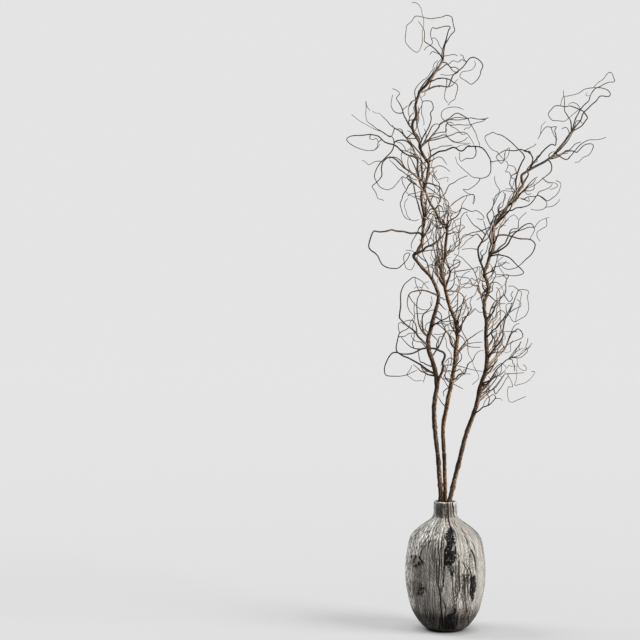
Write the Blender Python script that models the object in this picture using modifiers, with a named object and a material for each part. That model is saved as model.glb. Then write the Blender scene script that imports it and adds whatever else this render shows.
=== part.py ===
"""Curly willow branches standing in a whitewashed wooden vase.

Metres, +Z up. The origin is the middle of the vase's flat foot, and the broad face of the
arrangement looks along -Y. Routes are listed in millimetres.
"""
import math
import random

import bmesh
import bpy
import numpy as np
from mathutils import Vector

MM = 0.001
GAP = 0.3
WELD = 0.00001

# Vase, turned, with one wall thickness all over
VASE_HEIGHT = 300.0
VASE_WALL = 6.0
VASE_FLOOR = 8.0
VASE_RIM_ROUND = 2.0
VASE_TURNS = 32
VASE_ROWS = 13
OUTLINE_STEP = 4.0
# (radius, height) down the outside: neck, throat, shoulder, belly, foot
VASE_OUTLINE = [
    (27.2, 300), (27.4, 284), (28.6, 268), (36.0, 257), (65.7, 235), (83.2, 213), (92.1, 168),
    (94.0, 135), (91.9, 101), (82.0, 56), (72.0, 33), (56.5, 12), (41.5, 0),
]

# Sticks: rings of 6 sides for stems, 4 for strong shoots and 3 for the rest
STEM_RING = 1
STRONG_RING = 0
STRONG_SHOOT = 1.35
STEM_CHORD_ERROR = 0.5
SHOOT_CHORD_ERROR = 1.4
TIP_RADIUS = 0.42
CHILD_TO_PARENT = 0.88
TAPER = 0.8
SAMPLE = 3.0

# Room that shoots and twigs keep, measured from bark to bark
CLEAR_OF_OTHERS = 1.6
CLEAR_OF_OWN = 1.2
ROOT_ZONE = 15.0
NEIGHBOURHOOD = 12.0
# A shoot swings out to its depth over this share of a half turn, and part of the way back
SWING = 0.72
# The share of its length over which a shoot eases from its root onto its listed route
ROOT_EASE = 0.25
# Tried in turn, added to the depth that a shoot reaches, until it crosses nothing
DEPTH_CHANGES = [0, 12, -12, 24, -24, 38, -38, 55, -55, 75, -75, 100, -100, 130, -130]

# The place from which the routes are given: each (x, z) is where the branch crosses the plane
# y = 0 on the line from here, and a depth then moves it along that line, + being away from here
EYE = Vector((-294.5, -3341.7, 725.0))

# Main stems: (x, z, depth), from just above the vase's floor to the top. Below the rim these are
# the true places (x, z, y). The cut end is straight below the first point.
LEFT_STEM = [
    (14, 24, 10), (2, 150, 5), (-9.3, 300, 0), (-13.4, 350, -2), (-17, 400, -4),
    (-22.6, 450, -5), (-26.4, 500, -8), (-25.9, 530, -10), (-21, 560, -12), (-19.5, 575, -12),
    (-22.8, 600, -13), (-29.3, 625, -14), (-37.7, 650, -14), (-40.5, 675, -15), (-39, 690, -16),
    (-34.9, 700, -16), (-30.3, 720, -18), (-21.9, 750, -22), (-17.2, 770, -25), (-16.3, 785, -27),
    (-20.9, 800, -28), (-27.5, 815, -30), (-36.8, 830, -30), (-56, 850, -30), (-68, 865, -28),
    (-74.8, 876, -26), (-66, 885, -24), (-62.7, 893, -22), (-56, 902, -20), (-54, 913, -18),
    (-52.4, 941, -13), (-50, 967, -12), (-51.5, 984, -10), (-55, 999, -8), (-56, 1016, -8),
    (-53, 1031, -8), (-47.7, 1040, -8), (-44, 1053, -8), (-41, 1072, -6), (-39, 1091, -2),
    (-46, 1102, 2), (-53, 1115, 6), (-58, 1126, 0), (-59, 1138, -8), (-66, 1151, -20),
    (-74, 1166, -30), (-77.6, 1181, -40), (-75.7, 1192, -50), (-69, 1201, -55), (-68, 1212, -57),
    (-70, 1229, -60), (-67, 1242, -63), (-62.7, 1254, -66), (-60, 1263, -70), (-49.6, 1272, -80),
    (-40, 1283, -90), (-31, 1295, -88), (-21.6, 1309, -80), (-14, 1322, -73), (-5.5, 1336, -68),
]
MIDDLE_STEM = [
    (5, 24, 32), (2, 150, 20), (-0.3, 300, 10), (-1.2, 350, 9), (-2.6, 400, 8),
    (-4.3, 430, 8), (-5.5, 465, 12), (-3.9, 485, 15), (-1.2, 500, 17), (2.8, 520, 20),
    (6, 540, 25), (11, 560, 28), (18.3, 600, 33), (22, 620, 36), (24, 650, 39), (27.6, 675, 40),
    (28.5, 690, 41), (24.8, 720, 43), (17.3, 740, 44), (10.8, 755, 45), (5.2, 775, 44),
    (0.5, 795, 42), (-2.3, 810, 40), (-5, 825, 37), (-6.5, 840, 34), (-6, 857, 30), (0, 876, 25),
    (0, 895, 18), (2, 913, 10), (4.5, 932, 6), (2, 947, 5), (-8.5, 952, 6), (-18, 969, 8),
    (-25, 984, 10), (-35, 999, 12), (-42, 1014, 14), (-48, 1029, 15), (-55, 1038, 15),
    (-60, 1050, 16), (-63, 1063, 17), (-65.5, 1081, 19), (-64.5, 1100, 20), (-66, 1106, 20),
]
RIGHT_STEM = [
    (-34, 24, -28), (-27, 100, -24), (-15, 200, -17), (-1.7, 250, -13),
    (10, 300, -10), (21.7, 350, -14), (34.3, 400, -18), (47, 450, -23), (64.7, 500, -32),
    (74.4, 530, -38), (78.4, 550, -42), (86, 580, -48), (93.5, 600, -52), (96.6, 619, -56),
    (98.3, 640, -60), (96.5, 665, -64), (95.5, 690, -67), (96.8, 722, -70), (93.3, 737, -70),
    (91.3, 756, -70), (93, 774, -68), (99, 786, -66), (101.7, 797, -64), (99, 812, -60),
    (96, 821, -58), (92.8, 831, -56), (93.3, 842, -53), (97, 851, -50), (104.5, 875, -44),
    (110, 887, -40), (113.5, 900, -37), (114, 915, -34), (112, 932, -31), (113, 943, -29),
    (119.5, 956, -26), (130.7, 969, -23), (148, 994, -16), (160, 1006, -12), (168, 1020, -9),
    (174, 1032, -6), (182, 1042, -3), (180, 1052, -2), (179, 1064, 0), (188, 1072, 2),
    (212, 1086, 7), (228, 1094, 10), (242, 1103, 13), (252, 1110, 15), (260, 1120, 17),
    (270, 1132, 20), (280, 1144, 22), (290, 1158, 24), (300, 1172, 26),
]
# (height, radius) of each stem
LEFT_GIRTH = [(0, 6.0), (300, 5.5), (500, 4.8), (700, 3.8), (770, 3.3), (900, 2.6), (1000, 2.3),
              (1150, 2.2), (1250, 2.0), (1300, 1.5), (1340, 1.0)]
MIDDLE_GIRTH = [(0, 5.2), (300, 4.6), (560, 4.2), (650, 3.5), (750, 3.2), (850, 2.6), (950, 2.0),
                (1030, 1.6), (1110, 1.4)]
RIGHT_GIRTH = [(0, 5.8), (300, 5.3), (500, 4.6), (650, 3.5), (700, 3.2), (930, 2.8), (1000, 2.3),
               (1080, 1.8), (1150, 1.3), (1180, 1.1)]

# Side shoots: (root radius, depth reached, [(x, z), ...]), each after the one that it grows from
LEFT_SHOOTS = [
    (2.0, -45, [(-19, 571), (-15, 584), (-11, 594), (-6, 605), (-4, 616), (-7, 624), (-3, 633),
                (-1, 642), (-5, 649), (-14, 653), (-26, 658), (-52, 658), (-67, 651), (-80, 646),
                (-98, 645), (-111, 648), (-115, 655), (-115, 666), (-112, 679), (-109, 691),
                (-102, 698), (-91, 703), (-85, 709), (-82, 720), (-76, 728), (-72, 735)]),
    (0.9, 40, [(-12, 600), (-7, 617), (8, 619), (27, 618), (45, 613), (64, 608), (87, 604)]),
    (1.5, 50, [(-30, 596), (-48, 608), (-59, 618), (-72, 627), (-85, 635), (-100, 641),
               (-111, 648), (-123, 648), (-132, 639), (-139, 625), (-143, 612), (-142, 599),
               (-136, 594), (-123, 593), (-106, 593), (-91, 596), (-80, 601), (-67, 607)]),
    (0.7, 25, [(-91, 598), (-80, 588), (-70, 582), (-55, 583)]),
    (0.7, -15, [(-91, 598), (-83, 608), (-79, 618)]),
    (1.5, -80, [(-45, 663), (-59, 678), (-67, 687), (-72, 697), (-82, 706), (-96, 717),
                (-106, 728), (-108, 734), (-105, 758), (-105, 784), (-102, 797), (-95, 810),
                (-83, 820), (-76, 825), (-67, 823), (-55, 816), (-48, 808), (-40, 799)]),
    (1.3, 60, [(-41, 684), (-52, 694), (-57, 702), (-61, 711), (-64, 724), (-67, 756),
               (-65, 776), (-59, 786), (-56, 795), (-52, 808), (-46, 813), (-39, 815)]),
    (0.7, 20, [(-58, 802), (-67, 803), (-72, 800)]),
    (1.2, 90, [(-31, 636), (-22, 651), (-14, 664), (-5, 687), (0, 702), (-9, 719), (-9, 733),
               (-12, 741), (-22, 747), (-33, 748), (-48, 741), (-59, 740), (-70, 740)]),
    (0.9, -35, [(-37, 697), (-33, 692), (-22, 681), (-16, 674), (-18, 661)]),
    (1.3, -60, [(-17, 782), (-33, 789), (-44, 793), (-57, 795), (-70, 793), (-80, 790),
                (-86, 784), (-89, 771), (-89, 760), (-85, 748), (-78, 739), (-72, 733)]),
    (0.8, 30, [(-86, 782), (-80, 771), (-72, 762), (-61, 752), (-50, 749), (-40, 750),
               (-33, 758), (-31, 769), (-33, 780)]),
    (1.0, -70, [(-30, 706), (-18, 717), (-7, 724), (4, 730), (19, 741), (38, 760), (51, 773),
                (62, 779), (70, 785), (75, 800)]),
    (1.1, 60, [(-36, 825), (-39, 838), (-41, 852), (-44, 861), (-55, 869), (-64, 877),
               (-78, 887), (-92, 889)]),
    (1.9, -80, [(-68, 876), (-53, 885), (-44, 896), (-31, 902), (-18, 911), (-8, 920), (0, 931),
                (11, 935), (21, 942), (32, 947), (41, 948), (45, 944), (39, 939)]),
    (1.4, -90, [(-53, 924), (-61, 930), (-81, 929), (-98, 933), (-115, 934), (-126, 937),
                (-137, 934), (-154, 932), (-167, 934), (-172, 928), (-176, 917), (-179, 906),
                (-180, 897), (-175, 889), (-165, 882), (-158, 874), (-153, 863), (-147, 854),
                (-135, 848), (-122, 846), (-111, 847), (-102, 854), (-92, 864), (-86, 874),
                (-84, 882), (-91, 882), (-96, 878), (-98, 870), (-95, 855), (-91, 846),
                (-81, 843), (-75, 850), (-72, 859)]),
    (1.0, 45, [(-53, 951), (-61, 943), (-66, 930), (-76, 913), (-80, 902), (-79, 893)]),
    (1.3, 95, [(-53, 950), (-56, 969), (-61, 984), (-65, 1001), (-70, 1018), (-75, 1044),
               (-79, 1048), (-87, 1040), (-92, 1029), (-99, 1020), (-102, 1008), (-106, 999),
               (-103, 984), (-98, 971), (-91, 963), (-81, 960), (-72, 958), (-63, 961)]),
    (0.8, 30, [(-81, 960), (-89, 969), (-92, 980), (-96, 992), (-94, 1003), (-89, 1010)]),
    (0.9, -40, [(-56, 1031), (-64, 1025), (-74, 1022), (-83, 1021), (-88, 1016)]),
    (0.9, -50, [(-50, 920), (-38, 941), (-31, 958), (-25, 971)]),
    (1.5, -110, [(-56, 1048), (-70, 1059), (-81, 1070), (-96, 1082), (-109, 1095), (-119, 1104),
                 (-130, 1108), (-139, 1104), (-147, 1095), (-150, 1082), (-149, 1066),
                 (-152, 1059), (-161, 1049), (-167, 1044), (-172, 1038), (-165, 1027),
                 (-161, 1018), (-159, 1011), (-150, 1008), (-145, 1006)]),
    (0.9, -25, [(-147, 1098), (-162, 1098), (-171, 1094), (-180, 1090), (-188, 1097),
                (-195, 1100)]),
    (1.4, 80, [(-46, 1103), (-59, 1117), (-68, 1127), (-78, 1138), (-87, 1147), (-100, 1162),
               (-109, 1170), (-119, 1176), (-130, 1184), (-136, 1192), (-147, 1203),
               (-155, 1211), (-162, 1211), (-171, 1215)]),
    (1.0, 40, [(-120, 1176), (-128, 1156), (-139, 1160), (-150, 1168), (-162, 1175),
               (-173, 1184), (-182, 1190), (-186, 1198), (-187, 1211), (-186, 1226),
               (-187, 1239), (-184, 1227), (-178, 1218)]),
    (0.7, 30, [(-150, 1168), (-165, 1173), (-184, 1183), (-203, 1194), (-219, 1207)]),
    (1.2, 60, [(-75, 1170), (-81, 1177), (-87, 1186), (-92, 1196), (-97, 1205), (-100, 1216),
               (-104, 1227), (-111, 1239), (-115, 1246), (-111, 1252), (-107, 1257),
               (-111, 1262), (-119, 1267), (-124, 1268)]),
    (0.8, 30, [(-100, 1216), (-106, 1212), (-115, 1212), (-122, 1217), (-127, 1227),
               (-127, 1239), (-124, 1253)]),
    (0.9, -50, [(-69, 1244), (-76, 1241), (-81, 1233), (-86, 1224), (-87, 1212), (-84, 1201)]),
    (1.0, -70, [(-55, 1140), (-50, 1156), (-42, 1171), (-36, 1186), (-33, 1199), (-35, 1211),
                (-29, 1220), (-29, 1229), (-33, 1238), (-42, 1240), (-53, 1238), (-55, 1229),
                (-56, 1211), (-51, 1196), (-50, 1184)]),
    (1.3, 110, [(-52, 1132), (-44, 1140), (-36, 1149), (-27, 1162), (-16, 1177), (-12, 1186),
                (1, 1194), (11, 1200), (20, 1208), (29, 1211), (38, 1207), (47, 1202),
                (54, 1197), (57, 1188), (61, 1183), (66, 1174), (72, 1162), (76, 1149),
                (80, 1140), (81, 1133)]),
    (0.8, 40, [(-12, 1186), (15, 1198), (29, 1201), (50, 1199), (59, 1200), (70, 1198),
               (91, 1196), (100, 1200)]),
    (1.1, 70, [(-44, 1138), (-38, 1143), (-27, 1147), (-12, 1152), (3, 1156), (18, 1161),
               (26, 1165), (35, 1166), (42, 1166), (51, 1163), (57, 1155), (63, 1146),
               (67, 1137)]),
    (1.3, -70, [(-38, 1100), (-33, 1108), (-25, 1114), (-12, 1122), (1, 1124), (9, 1127),
                (19, 1131), (25, 1129), (31, 1124), (38, 1122), (44, 1125), (51, 1132),
                (62, 1133), (73, 1133), (85, 1130), (94, 1122), (101, 1111), (106, 1100),
                (107, 1080), (105, 1070), (98, 1062), (86, 1058), (75, 1059), (64, 1061),
                (52, 1071), (38, 1083), (28, 1094), (24, 1108)]),
    (0.8, 30, [(70, 1130), (72, 1118), (69, 1109), (63, 1105), (48, 1104), (38, 1098),
               (34, 1103), (33, 1118)]),
    (1.0, 60, [(-40, 1060), (-36, 1064), (-32, 1072), (-27, 1081), (-20, 1086), (-10, 1087),
               (1, 1082), (10, 1074)]),
    (0.7, 25, [(-25, 1072), (-22, 1063), (-18, 1055), (-8, 1058), (6, 1060), (5, 1050)]),
    (1.1, -90, [(-46, 1046), (-38, 1046), (-25, 1042), (-14, 1038), (-8, 1029), (-5, 1020),
                (0, 1008), (4, 990), (12, 979), (16, 969)]),
    (0.8, 45, [(-40, 1036), (-29, 1029), (-16, 1018), (-3, 1008), (-4, 995), (0, 980),
               (0, 966)]),
    (1.0, -40, [(-6, 1335), (-12, 1347), (-20, 1357), (-28, 1365), (-38, 1372), (-49, 1380),
                (-49, 1390), (-49, 1402), (-53, 1412), (-62, 1425)]),
    (1.0, -80, [(-5, 1335), (-3, 1358), (-2, 1367), (1, 1377), (3, 1388), (6, 1400), (8, 1407),
                (12, 1412), (10, 1415), (-2, 1415), (-13, 1412), (-22, 1410), (-30, 1412),
                (-33, 1407), (-35, 1397), (-33, 1387), (-30, 1378), (-33, 1372), (-43, 1367),
                (-49, 1360)]),
    (1.0, -100, [(0, 1375), (7, 1385), (13, 1395), (20, 1402), (22, 1407), (19, 1418),
                 (17, 1430), (14, 1438), (2, 1441), (-7, 1437), (-20, 1435), (-33, 1433),
                 (-47, 1435), (-69, 1439), (-79, 1427), (-90, 1417), (-92, 1408), (-94, 1382),
                 (-88, 1370), (-78, 1360), (-68, 1354), (-61, 1358), (-57, 1368), (-54, 1377),
                 (-54, 1403), (-51, 1413), (-51, 1433), (-54, 1443), (-57, 1457), (-62, 1465),
                 (-68, 1470), (-78, 1471)]),
    (0.9, 30, [(-8, 1330), (3, 1328), (12, 1319), (23, 1319), (31, 1313), (30, 1308),
               (20, 1302), (3, 1300), (-10, 1302)]),
    (1.2, 70, [(-58, 1260), (-48, 1262), (-37, 1267), (-27, 1272), (-13, 1275), (-3, 1274),
               (7, 1273), (12, 1283), (15, 1293), (20, 1302), (30, 1310), (40, 1318),
               (48, 1328), (55, 1338), (62, 1342), (68, 1342), (78, 1337), (86, 1328),
               (88, 1320), (84, 1312), (82, 1302), (77, 1292), (68, 1283), (60, 1279),
               (48, 1287), (38, 1293), (34, 1298), (40, 1308), (58, 1311), (67, 1318),
               (71, 1327), (68, 1333)]),
    (1.0, -40, [(-38, 1284), (-28, 1287), (-20, 1291), (-12, 1293), (-3, 1293), (10, 1290),
                (18, 1284), (27, 1279), (29, 1270), (27, 1260), (24, 1250), (22, 1244),
                (12, 1237), (7, 1230)]),
    (0.7, 20, [(5, 1292), (2, 1272), (-1, 1260), (-2, 1247), (4, 1237)]),
    (0.7, 25, [(-56, 1266), (-47, 1257), (-52, 1251), (-58, 1248)]),
    (0.9, 60, [(-70, 1240), (-72, 1260), (-70, 1268), (-63, 1278), (-53, 1288), (-42, 1295),
               (-35, 1306), (-29, 1315), (-27, 1326), (-19, 1334)]),
]
MIDDLE_SHOOTS = [
    (0.9, -30, [(2, 519), (-8, 530), (-17, 545), (-20, 549)]),
    (0.8, 55, [(10, 562), (2, 575), (-4, 590), (3, 605)]),
    (1.3, -60, [(16, 582), (26, 588), (33, 597), (46, 601), (50, 612), (54, 622), (65, 631),
                (70, 642), (78, 651), (90, 654)]),
    (0.9, 40, [(14, 572), (33, 590), (46, 598), (58, 598)]),
    (1.5, 70, [(24, 642), (33, 655), (44, 668), (52, 678), (65, 687), (76, 695), (88, 701)]),
    (0.9, 90, [(44, 667), (52, 669), (70, 672), (86, 673)]),
    (0.8, 60, [(52, 678), (54, 648), (60, 636), (63, 629), (68, 614)]),
    (0.9, 80, [(21, 630), (12, 636), (4, 631), (-1, 625), (-11, 618)]),
    (1.2, 70, [(-5, 832), (15, 837), (45, 842), (63, 845), (80, 851)]),
    (1.1, 90, [(0, 793), (24, 792), (36, 788), (45, 776), (49, 763), (48, 752), (41, 741),
               (30, 730)]),
    (1.1, -55, [(28, 695), (36, 700), (40, 719), (41, 730), (56, 737), (70, 750)]),
    (1.2, 110, [(26, 680), (20, 700), (13.6, 712), (9, 735), (9, 750), (16, 768), (26, 782),
                (34, 800), (30, 820)]),
    (1.3, 130, [(25, 655), (14, 668), (8, 690), (-6, 706), (-20, 716), (-36, 720), (-46, 712),
                (-44, 698), (-30, 690)]),
    (1.1, 90, [(-42, 1013), (-30, 1016), (-14, 1012), (-1, 1022), (4, 1033), (10, 1043),
               (21, 1048), (32, 1056), (52, 1064)]),
    (1.1, 70, [(2, 945), (4, 958), (10, 988), (21, 1001), (31, 1008), (40, 1014), (53, 1018),
               (67, 1019), (65, 1000)]),
    (1.0, -60, [(4, 940), (8, 957), (24, 966), (33, 977), (39, 988), (53, 983), (62, 980),
                (73, 982), (84, 975), (91, 966), (86, 961), (75, 963)]),
    (1.0, 60, [(-2, 812), (-14, 822), (-26, 838), (-30, 856), (-22, 872), (-12, 884)]),
    (1.0, 100, [(0, 880), (14, 890), (24, 904), (26, 922), (16, 938), (20, 956), (34, 964)]),
    (1.1, 55, [(-25, 984), (-16, 996), (-10, 1012), (-16, 1030), (-28, 1044), (-30, 1062),
               (-20, 1076)]),
    (1.3, 60, [(-66, 1104), (-76, 1110), (-85, 1112), (-96, 1117), (-106, 1125), (-113, 1132),
               (-122, 1137), (-135, 1140), (-145, 1145), (-156, 1156), (-165, 1159),
               (-178, 1161), (-195, 1159), (-216, 1158), (-227, 1155), (-232, 1149),
               (-225, 1140), (-212, 1132), (-193, 1125), (-176, 1123), (-162, 1127),
               (-154, 1138)]),
    (1.2, 100, [(-65, 1096), (-76, 1128), (-87, 1142), (-96, 1147), (-109, 1147), (-119, 1143),
                (-122, 1130), (-128, 1119), (-135, 1112), (-147, 1100), (-156, 1090),
                (-162, 1079), (-166, 1068), (-166, 1059), (-161, 1049), (-154, 1038),
                (-145, 1033), (-135, 1031), (-126, 1034), (-118, 1041), (-109, 1052),
                (-102, 1061)]),
]
RIGHT_SHOOTS = [
    (1.1, -45, [(66, 502), (80, 512), (88, 520), (100, 524), (108, 530), (118, 543), (112, 550),
                (105, 545), (98, 541), (93, 534), (89, 524)]),
    (0.7, -15, [(116, 541), (130, 540), (133, 537)]),
    (1.3, 60, [(76, 533), (83, 536), (95, 547), (102, 554), (113, 564), (124, 577), (132, 588),
               (139, 597), (149, 599), (158, 599), (184, 601)]),
    (0.9, 45, [(144, 598), (154, 582), (158, 568), (149, 568), (146, 558), (147, 543),
               (150, 534), (158, 532), (169, 537), (179, 541), (188, 545)]),
    (0.8, 35, [(113, 564), (118, 552), (126, 560), (134, 571), (141, 584), (147, 592)]),
    (1.3, -60, [(84, 572), (98, 575), (108, 588), (121, 609), (132, 620), (141, 629),
                (151, 635), (158, 640), (169, 659), (177, 672)]),
    (1.0, -60, [(151, 635), (167, 637), (169, 625), (168, 609), (167, 586), (163, 572),
                (175, 574), (188, 578), (199, 586), (208, 597), (211, 603), (203, 604)]),
    (0.8, 30, [(163, 648), (175, 646), (184, 655), (194, 657), (201, 666)]),
    (1.0, 50, [(98, 636), (104, 652), (111, 659), (117, 666), (122, 681), (120, 693)]),
    (1.4, 80, [(97, 605), (110, 622), (124, 640), (132, 648), (141, 659), (147, 672),
               (151, 683), (156, 694), (164, 699), (169, 704), (177, 700), (182, 691),
               (180, 683), (169, 678), (156, 672), (153, 665), (153, 652), (141, 648)]),
    (1.5, -50, [(98, 630), (110, 650), (124, 668), (132, 680), (136, 690), (135, 697),
                (138, 716), (142, 730), (147, 736), (153, 749), (159, 762), (163, 774),
                (168, 786), (171, 795), (166, 800), (158, 805), (149, 804)]),
    (0.9, -30, [(170, 794), (179, 796), (194, 794), (196, 790), (193, 782), (194, 771),
                (196, 756), (194, 745), (187, 734), (175, 727), (164, 721), (157, 724),
                (151, 735)]),
    (0.8, 40, [(171, 797), (179, 791), (176, 771), (172, 752), (167, 735), (165, 721)]),
    (0.8, -30, [(150, 684), (160, 708), (166, 714), (173, 717)]),
    (1.2, 70, [(97, 720), (104, 738), (107, 750), (114, 764), (123, 774), (129, 778),
               (138, 784), (142, 793), (142, 810), (143, 818), (148, 826), (148, 831),
               (140, 831), (131, 828), (116, 825), (106, 821)]),
    (0.7, 30, [(146, 735), (143, 748), (144, 762), (157, 764)]),
    (0.9, -60, [(100, 806), (110, 813), (121, 813), (131, 806), (134, 797)]),
    (1.2, -60, [(93, 738), (88, 765), (82, 790), (77, 812), (71, 832), (64, 845), (50, 860),
                (38, 872), (21, 880)]),
    (0.8, -40, [(82, 790), (75, 803), (65, 806), (56, 811), (45, 811)]),
    (1.6, 60, [(93, 836), (86, 853), (80, 868), (77, 885), (77, 893), (80, 900), (86, 910),
               (93, 923), (100, 935), (107, 944), (104, 954), (98, 971), (104, 980),
               (111, 990), (114, 1002), (118, 1016), (128, 1028), (120, 1042), (116, 1054),
               (116, 1062)]),
    (1.0, 60, [(94, 925), (80, 939), (65, 950), (56, 963), (49, 974)]),
    (1.2, -40, [(106, 944), (93, 938), (78, 933), (63, 930), (50, 924), (37, 916), (20, 903),
                (11, 894), (2, 875)]),
    (0.9, -40, [(88, 912), (82, 920), (76, 926), (71, 926), (60, 918), (50, 911), (43, 902),
                (34, 894)]),
    (0.8, -30, [(78, 890), (60, 893), (39, 891)]),
    (1.3, 80, [(110, 884), (121, 887), (129, 896), (140, 905), (144, 913), (151, 927),
               (160, 932), (170, 934), (183, 938), (196, 943), (207, 942), (210, 938),
               (207, 930), (202, 922), (200, 916)]),
    (1.4, -70, [(108, 878), (121, 883), (134, 892), (146, 902), (153, 915), (160, 926),
                (170, 935), (179, 943), (190, 950), (200, 952), (206, 947), (209, 942),
                (215, 950), (222, 958), (231, 962), (243, 966)]),
    (0.8, -25, [(237, 962), (239, 952), (237, 945), (228, 940), (217, 933), (215, 926),
                (217, 918), (222, 911)]),
    (1.3, 110, [(114, 915), (122, 922), (131, 925), (146, 924), (160, 920), (175, 916),
                (196, 915), (205, 911), (211, 903), (209, 892), (202, 879), (190, 868),
                (172, 851), (160, 846), (149, 844), (140, 846), (131, 853), (127, 858),
                (134, 859), (142, 860), (150, 858)]),
    (1.1, -95, [(105, 876), (123, 879), (134, 877), (147, 873), (157, 866), (168, 854),
                (177, 846), (184, 837), (179, 832), (162, 829), (149, 830), (136, 831),
                (119, 832)]),
    (0.9, -50, [(112, 986), (116, 998), (122, 1014), (133, 1028), (148, 1028), (166, 1026)]),
    (0.9, 50, [(126, 965), (124, 984), (134, 992), (137, 1006), (140, 1018), (136, 1026)]),
    (0.8, -60, [(144, 990), (150, 1010), (158, 1023)]),
    (1.2, -80, [(168, 1022), (165, 1046), (166, 1056), (169, 1068), (173, 1080), (180, 1096),
                (186, 1107), (182, 1116), (170, 1128), (158, 1140), (146, 1150), (136, 1157),
                (126, 1161), (120, 1162), (112, 1166), (103, 1162), (95, 1158), (93, 1153),
                (95, 1146), (100, 1137), (107, 1128), (114, 1123), (121, 1121)]),
    (0.8, -40, [(168, 1066), (164, 1082), (160, 1086), (148, 1089)]),
    (1.1, 80, [(196, 1080), (202, 1092), (205, 1106), (200, 1116), (198, 1121), (188, 1121),
               (178, 1126), (166, 1123), (154, 1123), (142, 1124), (130, 1118), (122, 1112),
               (120, 1107), (126, 1098), (132, 1093), (138, 1102), (141, 1120)]),
    (1.2, -70, [(196, 1080), (208, 1098), (220, 1110), (228, 1120), (238, 1130), (250, 1138),
                (259, 1136), (260, 1158), (257, 1170), (261, 1179), (248, 1178), (238, 1179),
                (230, 1172), (224, 1162), (218, 1151)]),
    (0.7, -30, [(224, 1162), (226, 1180), (236, 1191)]),
    (1.1, 60, [(248, 1106), (268, 1112), (280, 1119), (292, 1122), (300, 1122), (309, 1119),
               (316, 1126), (324, 1134), (332, 1138), (342, 1139), (348, 1135), (344, 1122),
               (336, 1112), (324, 1107), (314, 1097), (305, 1095)]),
    (0.9, -60, [(260, 1116), (283, 1102), (294, 1110), (304, 1122), (314, 1134), (326, 1143),
                (338, 1148), (360, 1149), (377, 1154)]),
    (1.0, -40, [(298, 1168), (295, 1191), (290, 1200), (284, 1210), (280, 1217), (280, 1231),
                (280, 1245), (278, 1252), (277, 1264)]),
    (1.0, 50, [(299, 1169), (305, 1194), (311, 1207), (318, 1220), (327, 1231), (337, 1240),
               (340, 1250), (345, 1260), (353, 1269), (364, 1274), (375, 1280), (386, 1284),
               (394, 1284), (398, 1287), (395, 1295), (392, 1304), (386, 1307), (380, 1303),
               (370, 1290), (359, 1283), (348, 1271)]),
    (1.0, -60, [(296, 1166), (310, 1184), (318, 1194), (321, 1204), (325, 1212), (334, 1221),
                (345, 1232), (354, 1239), (364, 1251), (383, 1250), (388, 1256), (383, 1264),
                (375, 1268), (361, 1271), (340, 1270), (327, 1267), (318, 1261), (308, 1256),
                (286, 1251), (278, 1250), (274, 1242), (270, 1227)]),
    (1.0, 90, [(297, 1166), (311, 1174), (321, 1181), (329, 1192), (334, 1200), (330, 1207),
               (324, 1215), (315, 1220), (305, 1224), (292, 1228), (282, 1226), (271, 1228),
               (258, 1228), (250, 1221), (243, 1212), (242, 1207), (246, 1200), (252, 1194),
               (266, 1193), (279, 1192), (287, 1197), (295, 1204), (313, 1219)]),
    (1.0, 60, [(162, 1008), (172, 1012), (184, 1009), (196, 1015), (214, 1016), (220, 1026),
               (236, 1032), (248, 1039), (251, 1047), (242, 1047), (232, 1054), (228, 1059)]),
    (1.0, -80, [(136, 976), (148, 981), (158, 983), (166, 988), (180, 990), (194, 994),
                (204, 1002), (210, 1010), (216, 1018), (230, 1012), (240, 1005), (252, 1012),
                (262, 1020), (268, 1030), (271, 1046), (260, 1053)]),
    (1.0, 70, [(240, 1101), (246, 1096), (250, 1086), (248, 1074), (240, 1066), (230, 1058),
               (220, 1050), (208, 1041), (194, 1035)]),
    (0.8, 60, [(122, 959), (134, 948), (142, 956), (149, 965), (162, 972), (171, 962)]),
]

# Short curly twigs that fill each branch, drawn by a seeded rule: how many, and the seed
LEFT_TWIGS, LEFT_SEED = 14, 11
MIDDLE_TWIGS, MIDDLE_SEED = 48, 5
RIGHT_TWIGS, RIGHT_SEED = 22, 23
TWIG_LENGTH = (55.0, 125.0)
TWIG_RADIUS = (0.7, 0.95)
TWIG_STEP = 4.0
BEND_RADIUS = (14.0, 36.0)
BEND_TURNS_OVER = (18.0, 46.0)
UPWARD_LEAN = 0.035
LOWEST_TWIG = 505.0
THINNEST_HOST = 0.62
# The room that the twigs fill: (height, least x, greatest x, greatest distance to front or back)
ROOM = [
    (470, -10, 70, 40), (520, -30, 110, 90), (560, -45, 150, 130), (600, -110, 170, 150),
    (700, -105, 170, 170), (800, -100, 185, 150), (900, -95, 200, 140), (1000, -100, 215, 140),
    (1100, -140, 245, 145), (1150, -140, 255, 130), (1250, -110, 350, 130), (1300, -60, 100, 140),
    (1400, -85, 25, 170), (1460, -70, 0, 170),
]


def remove_everything():
    for item in list(bpy.data.objects):
        bpy.data.objects.remove(item, do_unlink=True)


def new_collection(name):
    group = bpy.data.collections.new(name)
    bpy.context.scene.collection.children.link(group)
    return group


def plain_material(name, colour, roughness):
    material = bpy.data.materials.new(name)
    material.use_nodes = True
    shader = material.node_tree.nodes["Principled BSDF"]
    shader.inputs["Base Color"].default_value = (*colour, 1.0)
    shader.inputs["Roughness"].default_value = roughness
    shader.inputs["Metallic"].default_value = 0.0
    return material


def smooth_route(points, step):
    """Points every step millimetres or so on a smooth curve through the given points."""
    rows = [Vector(p) for p in points]
    rows = [rows[0] * 2 - rows[1]] + rows + [rows[-1] * 2 - rows[-2]]
    route = [rows[1]]
    for a, b, c, d in zip(rows, rows[1:], rows[2:], rows[3:]):
        pieces = max(1, round((c - b).length / step))
        for i in range(1, pieces + 1):
            t = i / pieces
            route.append(0.5 * (2 * b + (c - a) * t + (2 * a - 5 * b + 4 * c - d) * t ** 2
                                + (3 * b - 3 * c + d - a) * t ** 3))
    return route


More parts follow.
